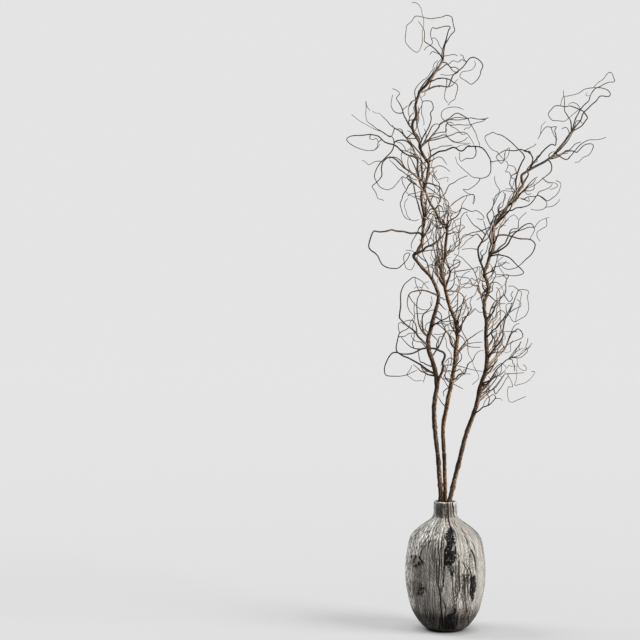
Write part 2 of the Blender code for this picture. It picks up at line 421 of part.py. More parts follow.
def kept_points(route, error):
    """The fewest of the route's points whose straight runs stay within the error."""
    keep = {0, len(route) - 1}
    spans = [(0, len(route) - 1)]
    while spans:
        first, last = spans.pop()
        run = route[last] - route[first]
        worst, place = 0.0, None
        for i in range(first + 1, last):
            off = route[i] - route[first]
            along = max(0.0, min(1.0, off.dot(run) / max(run.length_squared, 1e-9)))
            distance = (off - run * along).length
            if distance > worst:
                worst, place = distance, i
        if worst > error:
            keep.add(place)
            spans += [(first, place), (place, last)]
    return sorted(keep)


def between(table, key):
    """A value read off a table of (key, value, ...) rows, straight between the rows."""
    keys = [row[0] for row in table]
    return [float(np.interp(key, keys, [row[i] for row in table])) for i in range(1, len(table[0]))]


def seen(x, z, depth):
    """The true place of a point that lies at (x, z) in the plane y = 0 as seen from EYE."""
    return EYE + (Vector((x, 0.0, z)) - EYE) * (1.0 + depth / -EYE.y)


def seen_from_eye(place):
    """The reverse of seen: the (x, z) at which a true place shows in the plane y = 0."""
    flat = EYE + (place - EYE) * (-EYE.y / (place.y - EYE.y))
    return Vector((flat.x, flat.z))


def lathe(name, profile, material, group):
    """A solid of revolution from (radius, height) points that run down its outer side."""
    mesh = bpy.data.meshes.new(name)
    points = [(radius * MM, 0.0, height * MM) for radius, height in profile]
    mesh.from_pydata(points, [(i, i + 1) for i in range(len(points) - 1)], [])
    item = bpy.data.objects.new(name, mesh)
    group.objects.link(item)
    turn = item.modifiers.new("Turned", "SCREW")
    turn.axis = "Z"
    turn.angle = math.tau
    turn.steps = VASE_TURNS
    turn.render_steps = VASE_TURNS
    turn.use_merge_vertices = True
    turn.merge_threshold = WELD
    turn.use_smooth_shade = True
    mesh.materials.append(material)
    return item


def make_vase(group):
    """Outside from the rim down to the flat foot, inside one wall thickness in."""
    outline = smooth_route([(r, 0.0, z) for r, z in VASE_OUTLINE], OUTLINE_STEP)
    rows = [round(i * (len(outline) - 1) / VASE_ROWS) for i in range(VASE_ROWS + 1)]
    outside = [outline[i] for i in rows]
    inside = []
    for before, here, after in zip(outside, outside[1:], outside[2:]):
        down = (after - before).normalized()
        point = here + Vector((down.z, 0.0, -down.x)) * VASE_WALL
        if point.z > VASE_FLOOR + VASE_WALL / 2:
            inside.append(point)
    floor_edge = inside[-1].x - VASE_WALL
    rim_outer = VASE_OUTLINE[0][0]
    rim_inner = rim_outer - VASE_WALL
    shoulder = VASE_HEIGHT - VASE_RIM_ROUND
    profile = [(0.0, VASE_FLOOR), (floor_edge, VASE_FLOOR)]
    profile += [(point.x, point.z) for point in reversed(inside)]
    profile += [(rim_inner, shoulder), (rim_inner + VASE_RIM_ROUND, VASE_HEIGHT),
                (rim_outer - VASE_RIM_ROUND, VASE_HEIGHT), (rim_outer, shoulder)]
    profile += [(point.x, point.z) for point in outside[1:]]
    profile += [(0.0, 0.0)]
    finish = plain_material("Whitewashed wood", (0.52, 0.49, 0.44), 0.62)
    return lathe("vase", profile, finish, group)


def three_sided_section(group):
    """A triangle of radius 1, the cross-section of the thin shoots."""
    curve = bpy.data.curves.new("Thin section", "CURVE")
    curve.dimensions = "2D"
    spline = curve.splines.new("POLY")
    spline.points.add(2)
    for i in range(3):
        turn = math.tau * i / 3
        spline.points[i].co = (math.cos(turn) * MM, math.sin(turn) * MM, 0.0, 1.0)
    spline.use_cyclic_u = True
    item = bpy.data.objects.new("Thin section", curve)
    item.hide_render = True
    item.display_type = "WIRE"
    group.objects.link(item)
    return item


def straightened(route, radii, error):
    """The route as the few straight runs that the solid is made of, with the radius at each bend."""
    rows = kept_points(route, error)
    return [route[i] for i in rows], [radii[i] for i in rows]


def sampled(bends, radii):
    """Points and radii every few millimetres along straight runs."""
    points, widths = [bends[0]], [radii[0]]
    for a, b, thick, thin in zip(bends, bends[1:], radii, radii[1:]):
        pieces = max(1, round((b - a).length / SAMPLE))
        for i in range(1, pieces + 1):
            points.append(a.lerp(b, i / pieces))
            widths.append(thick + (thin - thick) * i / pieces)
    return points, widths


def tube(name, bends, radii, ring, section, group):
    """A tapering stick through the given bends, as a closed mesh. Bends and radii in millimetres."""
    curve = bpy.data.curves.new(name, "CURVE")
    curve.dimensions = "3D"
    curve.use_fill_caps = True
    if ring is None:
        curve.bevel_mode = "OBJECT"
        curve.bevel_object = section
    else:
        curve.bevel_depth = MM
        curve.bevel_resolution = ring
    spline = curve.splines.new("POLY")
    spline.points.add(len(bends) - 1)
    for point, bend, radius in zip(spline.points, bends, radii):
        point.co = (*(bend * MM), 1.0)
        point.radius = radius
    guide = bpy.data.objects.new(name, curve)
    group.objects.link(guide)
    bpy.context.view_layer.update()
    mesh = bpy.data.meshes.new_from_object(guide.evaluated_get(bpy.context.evaluated_depsgraph_get()))
    place = guide.matrix_world.copy()
    bpy.data.objects.remove(guide, do_unlink=True)
    bpy.data.curves.remove(curve)
    shell = bmesh.new()
    shell.from_mesh(mesh)
    bmesh.ops.remove_doubles(shell, verts=shell.verts, dist=WELD)
    bmesh.ops.recalc_face_normals(shell, faces=shell.faces)
    shell.to_mesh(mesh)
    shell.free()
    item = bpy.data.objects.new(name, mesh)
    item.matrix_world = place
    group.objects.link(item)
    return item


def clashes(route, radii, branch, placed):
    """How often a route comes too near to what stands already: (on other branches, on its own)."""
    here = np.array(route)
    reach = np.array(radii)
    low, high = here.min(axis=0) - NEIGHBOURHOOD, here.max(axis=0) + NEIGHBOURHOOD
    root = np.linalg.norm(here - here[0], axis=1) < ROOT_ZONE
    others = own = 0
    for owner, there, thick, box_low, box_high in placed:
        if (box_low > high).any() or (box_high < low).any():
            continue
        spacing = np.linalg.norm(here[:, None] - there[None], axis=2) - reach[:, None] - thick[None]
        if owner == branch:
            own += int((spacing[~root] < CLEAR_OF_OWN).sum())
        else:
            others += int((spacing < CLEAR_OF_OTHERS).sum())
    return others, own


def stand(route, radii, branch, placed):
    """Notes a stem or shoot as standing, so that later ones keep clear of it."""
    here = np.array(route)
    placed.append((branch, here, np.array(radii), here.min(axis=0), here.max(axis=0)))


def tapered(route, root, tip):
    """A radius for each of the route's points, from the root's down to the tip's."""
    last = max(len(route) - 1, 1)
    return [root + (tip - root) * (i / last) ** TAPER for i in range(len(route))]


def nearest_root(x, z, sticks):
    """The point of the branch that shows nearest to (x, z), a thick one rather than a thin one."""
    best, choice = None, None
    for bends, widths in sticks:
        for point, radius in zip(*sampled(bends, widths)):
            away = (seen_from_eye(point) - Vector((x, z))).length - 1.5 * radius
            if best is None or away < best:
                best, choice = away, (point, radius)
    return choice


def shoot_route(root, reach, points):
    """The route of a shoot from its root: it swings out to its depth and part of the way back."""
    flat = smooth_route([(x, z, 0.0) for x, z in points], SAMPLE)
    start = seen_from_eye(root)
    shift = Vector((start.x - points[0][0], start.y - points[0][1], 0.0))
    route = []
    for i, point in enumerate(flat):
        part = i / (len(flat) - 1)
        moved = point + shift * max(0.0, 1.0 - part / ROOT_EASE)
        route.append(seen(moved.x, moved.y, root.y + reach * math.sin(SWING * math.pi * part)))
    return route


def grow_shoot(branch, shoot, sticks, placed):
    """A listed shoot at the first depth that keeps it clear of the rest, or None if it can't be."""
    width, reach, points = shoot
    root, girth = nearest_root(*points[0], sticks)
    width = min(width, girth * CHILD_TO_PARENT)
    fewest, choice = None, None
    for change in DEPTH_CHANGES:
        route = shoot_route(root, reach + change, points)
        stick = straightened(route, tapered(route, width, TIP_RADIUS), SHOOT_CHORD_ERROR)
        others, own = clashes(*sampled(*stick), branch, placed)
        if others == 0 and (fewest is None or own < fewest):
            fewest, choice = own, stick
        if fewest == 0:
            break
    return choice


def curl(root, heading, length, draw):
    """A curly twig's route: its bend keeps turning over, and it leans up a little."""
    route = [root.copy()]
    side = heading.orthogonal().normalized()
    bend = 1.0 / draw.uniform(*BEND_RADIUS)
    turns_over = draw.uniform(*BEND_TURNS_OVER)
    for step in range(int(length / TWIG_STEP)):
        heading = (heading + side * bend * TWIG_STEP + Vector((0, 0, UPWARD_LEAN))).normalized()
        twist = heading.cross(side).normalized()
        side = (side + twist * draw.uniform(-0.25, 0.45)).normalized()
        side = (side - heading * side.dot(heading)).normalized()
        route.append(route[-1] + heading * TWIG_STEP)
        turns_over -= TWIG_STEP
        if turns_over < 0.0:
            side = -side
            bend = 1.0 / draw.uniform(*BEND_RADIUS)
            turns_over = draw.uniform(*BEND_TURNS_OVER)
    return route


def has_room(route):
    for point in route:
        low, high, depth = between(ROOM, point.z)
        if not (low < point.x < high and abs(point.y) < depth and ROOM[0][0] < point.z < ROOM[-1][0]):
            return False
    return True


def grow_twigs(branch, count, seed, sticks, placed):
    """Short twigs all over a branch, each drawn again until it has room and crosses nothing."""
    draw = random.Random(seed)
    hosts = [sampled(*stick) for stick in sticks]
    weights = [len(points) for points, radii in hosts]
    grown = []
    for tries in range(count * 60):
        if len(grown) == count:
            break
        points, radii = draw.choices(hosts, weights)[0]
        i = draw.randrange(max(1, len(points) // 8), len(points) - 1)
        root = points[i]
        if root.z < LOWEST_TWIG or radii[i] < THINNEST_HOST:
            continue
        along = (points[i + 1] - points[i - 1]).normalized()
        away = Vector((draw.gauss(0, 0.8), draw.gauss(0, 1.0), draw.gauss(0.2, 0.5)))
        away = (away - along * away.dot(along)).normalized()
        width = min(draw.uniform(*TWIG_RADIUS), radii[i] * CHILD_TO_PARENT)
        twig = curl(root, (along * 0.5 + away).normalized(), draw.uniform(*TWIG_LENGTH), draw)
        stick = straightened(twig, tapered(twig, width, TIP_RADIUS), SHOOT_CHORD_ERROR)
        if not has_room(twig) or clashes(*sampled(*stick), branch, placed) != (0, 0):
            continue
        stand(*sampled(*stick), branch, placed)
        grown.append(stick)
    return grown


def grow_stem(stem, girth):
    """A main stem: its flat cut end stands on the vase's floor, and above the rim it is as seen."""
    inside = [Vector((x, y, z)) for x, z, y in stem if z < VASE_HEIGHT]
    above = [seen(x, z, depth) for x, z, depth in stem if z >= VASE_HEIGHT]
    route = smooth_route(inside + above, SAMPLE)
    radii = [between(girth, point.z)[0] for point in route]
    bends, widths = straightened(route, radii, STEM_CHORD_ERROR)
    cut_end = Vector((bends[0].x, bends[0].y, VASE_FLOOR + GAP))
    return [cut_end] + bends, [widths[0]] + widths


def join(body, group):
    """Fuses all that is in the group into the body, and removes the group's objects."""
    fuse = body.modifiers.new("Grown together", "BOOLEAN")
    fuse.operation = "UNION"
    fuse.operand_type = "COLLECTION"
    fuse.collection = group
    fuse.solver = "MANIFOLD"
    bpy.context.view_layer.update()
    whole = bpy.data.meshes.new_from_object(body.evaluated_get(bpy.context.evaluated_depsgraph_get()))
    body.modifiers.remove(fuse)
    body.data = whole
    for item in list(group.objects):
        bpy.data.objects.remove(item, do_unlink=True)
    bpy.data.collections.remove(group)


def build_branch(name, sticks, material, section, group):
    """One solid from a stem, its shoots and its twigs."""
    shoots = new_collection(name + " shoots")
    stem = tube(name, *sticks[0], STEM_RING, section, group)
    for bends, radii in sticks[1:]:
        ring = STRONG_RING if radii[0] > STRONG_SHOOT else None
        tube(name + " shoot", bends, radii, ring, section, shoots)
    join(stem, shoots)
    stem.name = name
    stem.data.name = name
    stem.data.materials.clear()
    stem.data.materials.append(material)
    return stem


def main():
    remove_everything()
    group = new_collection("Curly willow in a vase")
    guides = new_collection("Guides")
    section = three_sided_section(guides)
    make_vase(group)
    plans = [
        ("willow_left", LEFT_STEM, LEFT_GIRTH, LEFT_SHOOTS, LEFT_TWIGS, LEFT_SEED),
        ("willow_middle", MIDDLE_STEM, MIDDLE_GIRTH, MIDDLE_SHOOTS, MIDDLE_TWIGS, MIDDLE_SEED),
        ("willow_right", RIGHT_STEM, RIGHT_GIRTH, RIGHT_SHOOTS, RIGHT_TWIGS, RIGHT_SEED),
    ]
    placed = []
    grown = {}
    for name, stem, girth, shoots, count, seed in plans:
        stick = grow_stem(stem, girth)
        stand(*sampled(*stick), name, placed)
        grown[name] = [stick]
    for name, stem, girth, shoots, count, seed in plans:
        for shoot in shoots:
            choice = grow_shoot(name, shoot, grown[name], placed)
            if choice:
                stand(*sampled(*choice), name, placed)
                grown[name].append(choice)
    for name, stem, girth, shoots, count, seed in plans:
        grown[name] += grow_twigs(name, count, seed, grown[name], placed)
    bark = plain_material("Dry willow bark", (0.085, 0.058, 0.040), 0.72)
    for name in grown:
        build_branch(name, grown[name], bark.copy(), section, group)
    return grown


main()
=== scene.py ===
"""Looks of the curly willow branches and of the whitewashed wooden vase that they stand in.

Metres, +Z up. Routes and lathe sizes are listed in millimetres, as a maker would note them.
"""
import math
import random

import bpy
import numpy as np
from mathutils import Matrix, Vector, noise


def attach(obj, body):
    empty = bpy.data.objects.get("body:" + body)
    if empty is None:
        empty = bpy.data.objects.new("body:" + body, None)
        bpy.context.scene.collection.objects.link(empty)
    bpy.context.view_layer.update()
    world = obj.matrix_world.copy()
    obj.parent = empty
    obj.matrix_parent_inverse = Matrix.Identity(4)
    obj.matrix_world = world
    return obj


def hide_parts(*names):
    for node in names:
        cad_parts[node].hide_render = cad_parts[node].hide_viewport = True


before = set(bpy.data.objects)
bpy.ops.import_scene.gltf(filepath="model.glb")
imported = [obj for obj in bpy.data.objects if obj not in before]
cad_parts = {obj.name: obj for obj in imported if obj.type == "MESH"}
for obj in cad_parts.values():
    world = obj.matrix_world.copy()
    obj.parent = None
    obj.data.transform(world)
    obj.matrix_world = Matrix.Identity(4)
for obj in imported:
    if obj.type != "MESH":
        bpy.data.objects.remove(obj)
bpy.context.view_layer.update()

MM = 0.001

# Vase: the same lathe outline as the solid, cut finer and then carved
VASE_HEIGHT = 300.0
VASE_WALL = 6.0
VASE_FLOOR = 8.0
VASE_RIM_ROUND = 2.0
VASE_COLUMNS = 420
VASE_OUTER_ROWS = 200
VASE_INNER_ROWS = 22
RIM_ROWS = 8
WELD = 0.00001
# (radius, height) down the outside: neck, throat, shoulder, belly, foot
VASE_OUTLINE = [
    (27.2, 300), (27.4, 284), (28.6, 268), (36.0, 257), (65.7, 235), (83.2, 213), (92.1, 168),
    (94.0, 135), (91.9, 101), (82.0, 56), (72.0, 33), (56.5, 12), (41.5, 0),
]
VASE_UNDERSIDE = [(30.0, 0.0), (0.0, 0.0)]
# Carving: depth of a groove, height of the ridges between, and the uneven rim
GROOVE_DEPTH = 1.05
RIDGE_HEIGHT = 0.35
RIM_UNEVEN = 0.9
GIRTH_SCALE = 90.0
# Millimetres round the vase, from the front towards +X, of each cathedral's middle
CATHEDRALS = [-232.0, -176.0, -120.0, -62.0, 0.0, 64.0, 118.0, 182.0, 240.0]
LINE_SPACING = 4.7
ARCH_SPACING = 20.0
# Dark lines on the front: strength, then (height, across from the middle, half width) down each
FRONT_LINES = [
    (1.0, (293, 5, 1.6), (280, 6, 1.6), (262, 6.5, 1.6), (250, 8, 1.5), (240, 11, 1.6), (233, 14, 1.8)),
    (1.0, (297, 17, 1.4), (285, 18, 1.5), (272, 19, 1.3), (264, 21, 1.0)),
    (0.8, (252, 21, 0.8), (246, 23, 1.3), (240, 27, 1.0)),
    (0.6, (292, -1, 0.9), (280, -2, 0.9), (265, 0, 1.1), (250, 0, 1.0)),
    (0.5, (296, 23, 0.8), (270, 25, 0.8)),
    (0.8, (250, -18, 0.9), (240, -24, 1.0), (236, -27, 0.9)),
    (0.9, (237, -20, 0.9), (228, -25, 1.2)),
    (0.8, (235, -32, 0.8), (222, -45, 1.0)),
    (1.0, (216, -40, 1.0), (205, -48, 1.3)),
    (1.0, (206, -34, 1.5), (200, -40, 1.5)),
    (0.9, (198, -45, 1.1), (185, -55, 1.4), (174, -59, 1.2)),
    (0.7, (235, -60, 0.8), (219, -72, 0.9)),
    (0.7, (215, -80, 1.0), (190, -82, 1.0)),
    (1.0, (217, -7, 1.1), (200, -9, 1.4), (184, -11, 1.4)),
    (0.9, (230, -3, 0.9), (200, -4, 1.2), (190, -5, 1.2)),
    (1.0, (200, -17, 1.2), (165, -15, 1.2), (140, -15, 1.3), (120, -16, 1.5), (105, -17, 1.3),
     (90, -14, 1.2), (78, -12, 1.8), (65, -11, 1.6), (55, -12, 1.4), (40, -10, 1.3), (30, -8, 1.3),
     (20, -6, 1.6), (2, -7, 1.4)),
    (0.9, (182, -11, 1.0), (165, -9, 1.1), (145, -9, 1.5), (135, -9, 1.3), (120, -8, 1.0), (105, -5, 1.0),
     (90, -9, 0.9), (80, -11, 1.0)),
    (1.0, (184, -1, 1.5), (165, -1, 2.2), (150, -2, 2.3), (142, -3, 1.8), (120, -4, 1.4), (100, -5, 1.0)),
    (0.6, (182, -13.5, 0.9), (165, -13.5, 1.0), (150, -13, 0.9)),
    (0.55, (178, -18, 0.8), (150, -19, 0.9), (120, -18, 0.8)),
    (0.45, (172, -25.5, 0.8), (140, -26, 0.9), (110, -25, 0.8)),
    (0.6, (38, -9, 0.9), (25, -10, 1.0), (5, -11, 1.0)),
    (0.6, (36, -36, 0.9), (16, -33, 0.9)),
    (0.6, (34, -1, 0.9), (18, -2, 1.0), (2, -3, 1.2)),
    (0.5, (34, 38, 0.9), (14, 36, 0.9)),
    (0.75, (291, 1.5, 1.0), (262, 2.5, 1.0)),
    (0.75, (292, 11.5, 1.0), (266, 13, 1.0)),
    (0.6, (290, -21, 0.9), (266, -21, 0.9)),
    (0.5, (36, 46, 0.9), (22, 45, 0.9)),
    (0.75, (162, -21, 1.0), (140, -21, 1.2), (120, -21, 1.2), (100, -21, 1.0)),
    (0.5, (181, -26, 1.0), (163, -26, 1.0)),
    (0.45, (178, -31, 0.9), (160, -30, 0.9)),
    (0.9, (66, -6, 1.0), (58, -2, 1.4), (48, 0, 1.7)),
    (0.9, (32, -29, 1.1), (12, -28, 1.3)),
    (0.7, (30, -20, 0.9), (14, -20, 0.9)),
    (0.9, (25, -13, 1.1), (1, -14, 1.3)),
    (1.0, (191, 24, 1.8), (181, 24, 2.0)),
    (0.8, (176, 28, 1.2), (170, 33, 1.4), (163, 26, 1.0)),
    (1.0, (158, 32, 1.3), (140, 32, 1.4), (120, 33, 1.7), (105, 33, 1.8), (88, 33, 1.6)),
    (0.6, (135, 20, 1.6), (120, 16, 1.6), (105, 17, 2.0), (90, 18, 2.0), (75, 19, 2.0), (60, 21, 2.0),
     (45, 22, 2.2)),
    (0.6, (120, 25, 1.1), (100, 25, 1.2), (60, 25, 1.2), (40, 26, 1.1)),
    (1.0, (155, 41, 1.0), (142, 48, 1.1), (135, 53, 1.0), (125, 54, 1.5), (110, 53, 1.5), (95, 53, 1.5),
     (84, 54, 1.2)),
    (1.0, (150, 50, 1.0), (142, 55, 1.1), (133, 60, 1.2), (122, 61, 1.7), (105, 61, 1.7), (95, 59, 1.6),
     (80, 59, 1.2)),
    (0.6, (130, 40, 1.0), (90, 41, 1.1), (60, 42, 1.0), (45, 41, 1.0)),
    (0.85, (120, 45, 1.3), (90, 45, 1.4), (75, 46, 1.2), (60, 48, 1.1), (40, 50, 1.5)),
    (0.6, (100, 51, 1.0), (85, 52, 1.0), (70, 54, 0.9), (60, 56, 0.9)),
    (1.0, (184, 62, 1.8), (175, 66, 2.0), (165, 69, 1.8), (150, 71, 1.2), (138, 72, 0.9)),
    (0.8, (173, 57, 1.4), (168, 58, 1.6)),
    (0.8, (234, 37, 0.9), (226, 43, 1.2), (221, 49, 1.1)),
    (0.85, (217, 45, 1.0), (208, 50, 1.3), (200, 53, 1.1)),
    (0.85, (232, 20, 1.2), (220, 24, 1.3), (213, 26, 1.0)),
    (0.4, (218, 30, 0.9), (204, 30, 0.9)),
    (0.4, (203, 34, 0.9), (190, 33, 0.9)),
    (0.45, (215, 40, 0.9), (192, 42, 0.9)),
    (0.85, (203, 63, 0.9), (193, 67, 1.2), (186, 69, 1.1)),
    (0.9, (30, 28, 1.6), (10, 26, 1.6)),
    (0.8, (28, 55, 1.4), (15, 54, 1.5)),
    (0.6, (108, -75, 1.2), (85, -74, 1.3)),
    (0.6, (112, -82, 1.2), (88, -82, 1.1)),
    (0.35, (170, -38, 0.9), (60, -36, 0.9)),
    (0.35, (150, -50, 0.9), (50, -47, 0.9)),
]
# Ink-black stains on the front, listed the same way
FRONT_STAINS = [
    (1.0, (237, 13, 3), (228, 12, 8), (220, 10, 9), (212, 11, 10), (204, 14, 10), (190, 9, 8),
     (183, 11, 12), (175, 12, 13), (165, 11, 12), (158, 10, 12), (150, 8, 7)),
    (0.6, (152, 10, 8), (145, 12, 7), (135, 15, 6), (124, 17, 3)),
    (0.9, (123, 66, 4), (118, 65, 6), (108, 65, 7), (98, 66, 6), (88, 64, 6), (80, 63, 5), (72, 63, 4),
     (66, 63, 2)),
    (0.5, (126, 50, 7), (112, 50, 6)),
    (1.0, (46, 23, 2), (36, 22, 4), (32, 13, 9), (25, 11, 11), (15, 10, 12), (0, 10, 12)),
    (1.0, (160, -56, 3), (154, -54, 4)),
    (1.0, (156, -63, 3.5), (150, -62, 3)),
    (0.9, (150, -69, 3), (146, -68, 3)),
    (0.9, (168, -61, 2.5), (163, -60, 3)),
    (0.8, (171, -70, 2.5), (166, -71, 2.5)),
    (0.8, (170, -79, 2), (166, -80, 2)),
    (0.8, (162, -73, 2), (158, -74, 2)),
    (0.45, (107, -60, 4), (95, -57, 8), (80, -60, 7)),
]
# Places where bare brown wood shows
BROWN_PLACES = [
    (0.8, (293, -11, 8.5), (280, -12, 8.5), (262, -11, 9)),
    (0.5, (172, -74, 9), (146, -76, 9)),
    (0.5, (110, -70, 12), (76, -66, 12)),
    (0.4, (52, 12, 7), (36, 12, 7)),
    (0.35, (292, 7, 12), (262, 7, 12)),
]
# Places where pale wash is laid on the ridges as painted glints and highlights, and where the wood is
# smooth and even
WASH_AND_GLINT_PLACES = [
    (1.0, (262, -22, 8), (250, -28, 14), (235, -48, 24), (215, -62, 26), (195, -72, 22), (172, -82, 12)),
    (0.6, (245, -10, 10), (225, -14, 14), (200, -14, 12)),
    (1.0, (302, -19, 9), (295, -19, 9)),
    (1.0, (302, 20, 6), (295, 20, 6)),
    (1.0, (302, 0, 30), (298, 0, 30)),
    (0.6, (292, -24, 5), (262, -25, 6)),
    (0.9, (175, -88, 10), (120, -92, 10), (85, -88, 10), (55, -80, 8)),
]
# The smooth places are also painted lighter, most on the right side where the key light falls
SMOOTH_AND_LIT_PLACES = [
    (0.9, (262, 28, 6), (235, 55, 18), (200, 78, 22), (140, 90, 22), (80, 84, 22), (45, 74, 16)),
    (0.5, (190, -48, 22), (120, -48, 26), (50, -42, 22)),
    (0.7, (240, 28, 12), (215, 38, 18), (180, 46, 18), (150, 44, 12)),
    (0.6, (150, 8, 6), (125, 5, 8), (90, 5, 10), (60, 4, 10)),
]
STROKE_SWAY, STROKE_WIDTH = 0.22, 1.12
# Angles round the vase between which the strokes are drawn by rule, from the front
HIDDEN_SIDES = (1.15, 5.15)
HIDDEN_TOPS = (60.0, 285.0)
# (how many, shortest, longest, thinnest, thickest, seed)
HIDDEN_LINES = (70, 20.0, 120.0, 0.8, 1.7, 5)
HIDDEN_STAINS = (9, 40.0, 110.0, 4.0, 11.0, 8)

# Bark: sides of the three grades of stick, and the mean radius that a stem and a shoot start at
STEM_SIDES, SHOOT_SIDES, FINE_SIDES = 18, 8, 5
STEM_ABOVE, SHOOT_ABOVE = 1.9, 0.95
RIDGE_DEPTH = 0.42
BARK_SEED = 3
# A stem is a little fuller than the solid's and swells at old knots; shoots are fuller still
STEM_FULLNESS = 1.05
KNOT_SPACING = 17.0
SHOOT_FULLNESS, TIP_FINENESS, THINNEST = 1.8, 0.1, 0.74
# Buds: metres between them and along them, the thickest stick and the least height that bear them,
# the turn round the stick from one to the next, and how far each leans out
BUD_SPACING, BUD_LENGTH = 0.017, 0.0026
THICKEST_WITH_BUDS, LOWEST_BUD = 1.5, 340.0
BUD_TURN, BUD_LEAN = 2.4, 0.42
# Sheltered sticks stay paler: the side of the squares they are counted in, and the count's ramp
SHELTER_CELL, SHELTER_FROM, SHELTER_TO = 9.0, 1.1, 3.6
WARMTH = {"willow_left": 0.25, "willow_middle": 0.85, "willow_right": 0.3}
# Short twigs of the solid that are left off here, since the real branches are bare in their place
BROKEN_OFF = {
    "willow_left": (0, 1, 2, 7, 12),
    "willow_middle": (1, 2, 3, 8, 12, 13, 14, 17, 21, 22, 24, 25, 26, 28, 31, 32, 36, 37, 38, 40, 42, 44,
                      45, 46, 47),
    "willow_right": (1, 3, 7, 11, 13, 15, 18, 19),
}
# Side steps of the short twigs: how far, how far apart, and the seed of the noise they follow
TWIG_CROOK, CROOK_LENGTH = 9.0, 26.0
CROOK_SEED = 1

# Studio: floor and surround tones, and the light that comes from all round
BACKDROP = 0.776
FILL = 0.08
FLOOR_SIZE = 40.0
FLOOR_LEVEL = -0.0004
FLOOR_SHADE = (0.1635, 0.165, 0.167)
FLOOR_GLOW, FLOOR_RISE, FLOOR_REACH = 0.43, 0.061, 0.6
LIGHT_DISTANCE = 4.0
# (name, angle round from the front, angle up, strength, softness, colour)
LIGHTS = [
    ("Key", 65.0, 31.0, 6.2, 34.0, (1.0, 0.985, 0.965)),
    ("Rim", -107.0, 46.0, 2.9, 30.0, (1.0, 1.0, 1.0)),
]

# Growth: how the solid's sticks come about, since the finer ones keep their places
GAP = 0.3
STEM_CHORD_ERROR = 0.5
SHOOT_CHORD_ERROR = 1.4
TIP_RADIUS = 0.42
FINE_TIP = 0.5
CHILD_TO_PARENT = 0.88
TAPER = 0.8
SAMPLE = 3.0
CLEAR_OF_OTHERS = 1.6
CLEAR_OF_OWN = 1.2
FINE_CLEARANCE = 0.7
ROOT_ZONE = 15.0
NEIGHBOURHOOD = 12.0
THICK_FIRST = 1.5
SWING = 0.72
ROOT_EASE = 0.25
SEAT_EASE = 14.0
TWIG_TRIES = 60
DEPTH_CHANGES = [0, 12, -12, 24, -24, 38, -38, 55, -55, 75, -75, 100, -100, 130, -130]

# Fine strands: (branch, lowest, highest, least x, greatest x, how many, reach from the stem, lean)
FINE_SEED = 77
THICKETS = [
    ("willow_left", 640, 770, -110, 0, 4, 60, (-0.1, 0.0, 0.9)),
    ("willow_left", 770, 960, -90, 30, 6, 45, (0.1, 0.0, 0.9)),
    ("willow_left", 1000, 1130, -100, -20, 9, 50, (-0.1, 0.0, 0.9)),
    ("willow_left", 1120, 1200, -80, 60, 4, 50, (0.2, 0.0, 0.8)),
    ("willow_middle", 770, 960, -40, 30, 7, 40, (0.0, 0.0, 1.0)),
    ("willow_middle", 940, 1100, -70, 40, 6, 40, (0.0, 0.0, 0.9)),
    ("willow_right", 520, 650, 70, 150, 3, 50, (0.7, 0.0, 0.7)),
    ("willow_right", 640, 780, 90, 160, 6, 50, (0.5, 0.0, 0.9)),
    ("willow_right", 760, 940, 70, 130, 9, 40, (0.0, 0.0, 1.0)),
    ("willow_right", 940, 1100, 100, 230, 8, 36, (0.5, 0.0, 0.8)),
]
FINE_STEP = 4.0
FINE_LENGTH = (50.0, 120.0)
FINE_RADIUS = (0.75, 1.25)
THINNEST_STRAND_HOST = 0.55
STRAND_TRIES = 14
STRAND_WAVE, STRAND_BEND = (38.0, 82.0), (12.0, 26.0)
KINK_WAVE, KINK_BEND = (15.0, 24.0), 0.05
HOOKS, HOOK_RADIUS, HOOK_START = [0.0, 0.0, 0.8, 1.0, 1.4], (11.0, 20.0), 0.5
STRAND_LEAN = 0.022

# The place from which the routes are given: each (x, z) is where the branch crosses the plane
# y = 0 on the line from here, and a depth then moves it along that line, + being away from here
EYE = Vector((-294.5, -3341.7, 725.0))

# Main stems: (x, z, depth), from just above the vase's floor to the top. Below the rim these are
# the true places (x, z, y). The cut end is straight below the first point.
LEFT_STEM = [
    (14, 24, 10), (2, 150, 5), (-9.3, 300, 0), (-13.4, 350, -2), (-17, 400, -4), (-22.6, 450, -5),
    (-26.4, 500, -8), (-25.9, 530, -10), (-21, 560, -12), (-19.5, 575, -12), (-22.8, 600, -13),
    (-29.3, 625, -14), (-37.7, 650, -14), (-40.5, 675, -15), (-39, 690, -16), (-34.9, 700, -16),
    (-30.3, 720, -18), (-21.9, 750, -22), (-17.2, 770, -25), (-16.3, 785, -27), (-20.9, 800, -28),
    (-27.5, 815, -30), (-36.8, 830, -30), (-56, 850, -30), (-68, 865, -28), (-74.8, 876, -26),
    (-66, 885, -24), (-62.7, 893, -22), (-56, 902, -20), (-54, 913, -18), (-52.4, 941, -13),
    (-50, 967, -12), (-51.5, 984, -10), (-55, 999, -8), (-56, 1016, -8), (-53, 1031, -8), (-47.7, 1040, -8),
    (-44, 1053, -8), (-41, 1072, -6), (-39, 1091, -2), (-46, 1102, 2), (-53, 1115, 6), (-58, 1126, 0),
    (-59, 1138, -8), (-66, 1151, -20), (-74, 1166, -30), (-77.6, 1181, -40), (-75.7, 1192, -50),
    (-69, 1201, -55), (-68, 1212, -57), (-70, 1229, -60), (-67, 1242, -63), (-62.7, 1254, -66),
    (-60, 1263, -70), (-49.6, 1272, -80), (-40, 1283, -90), (-31, 1295, -88), (-21.6, 1309, -80),
    (-14, 1322, -73), (-5.5, 1336, -68),
]
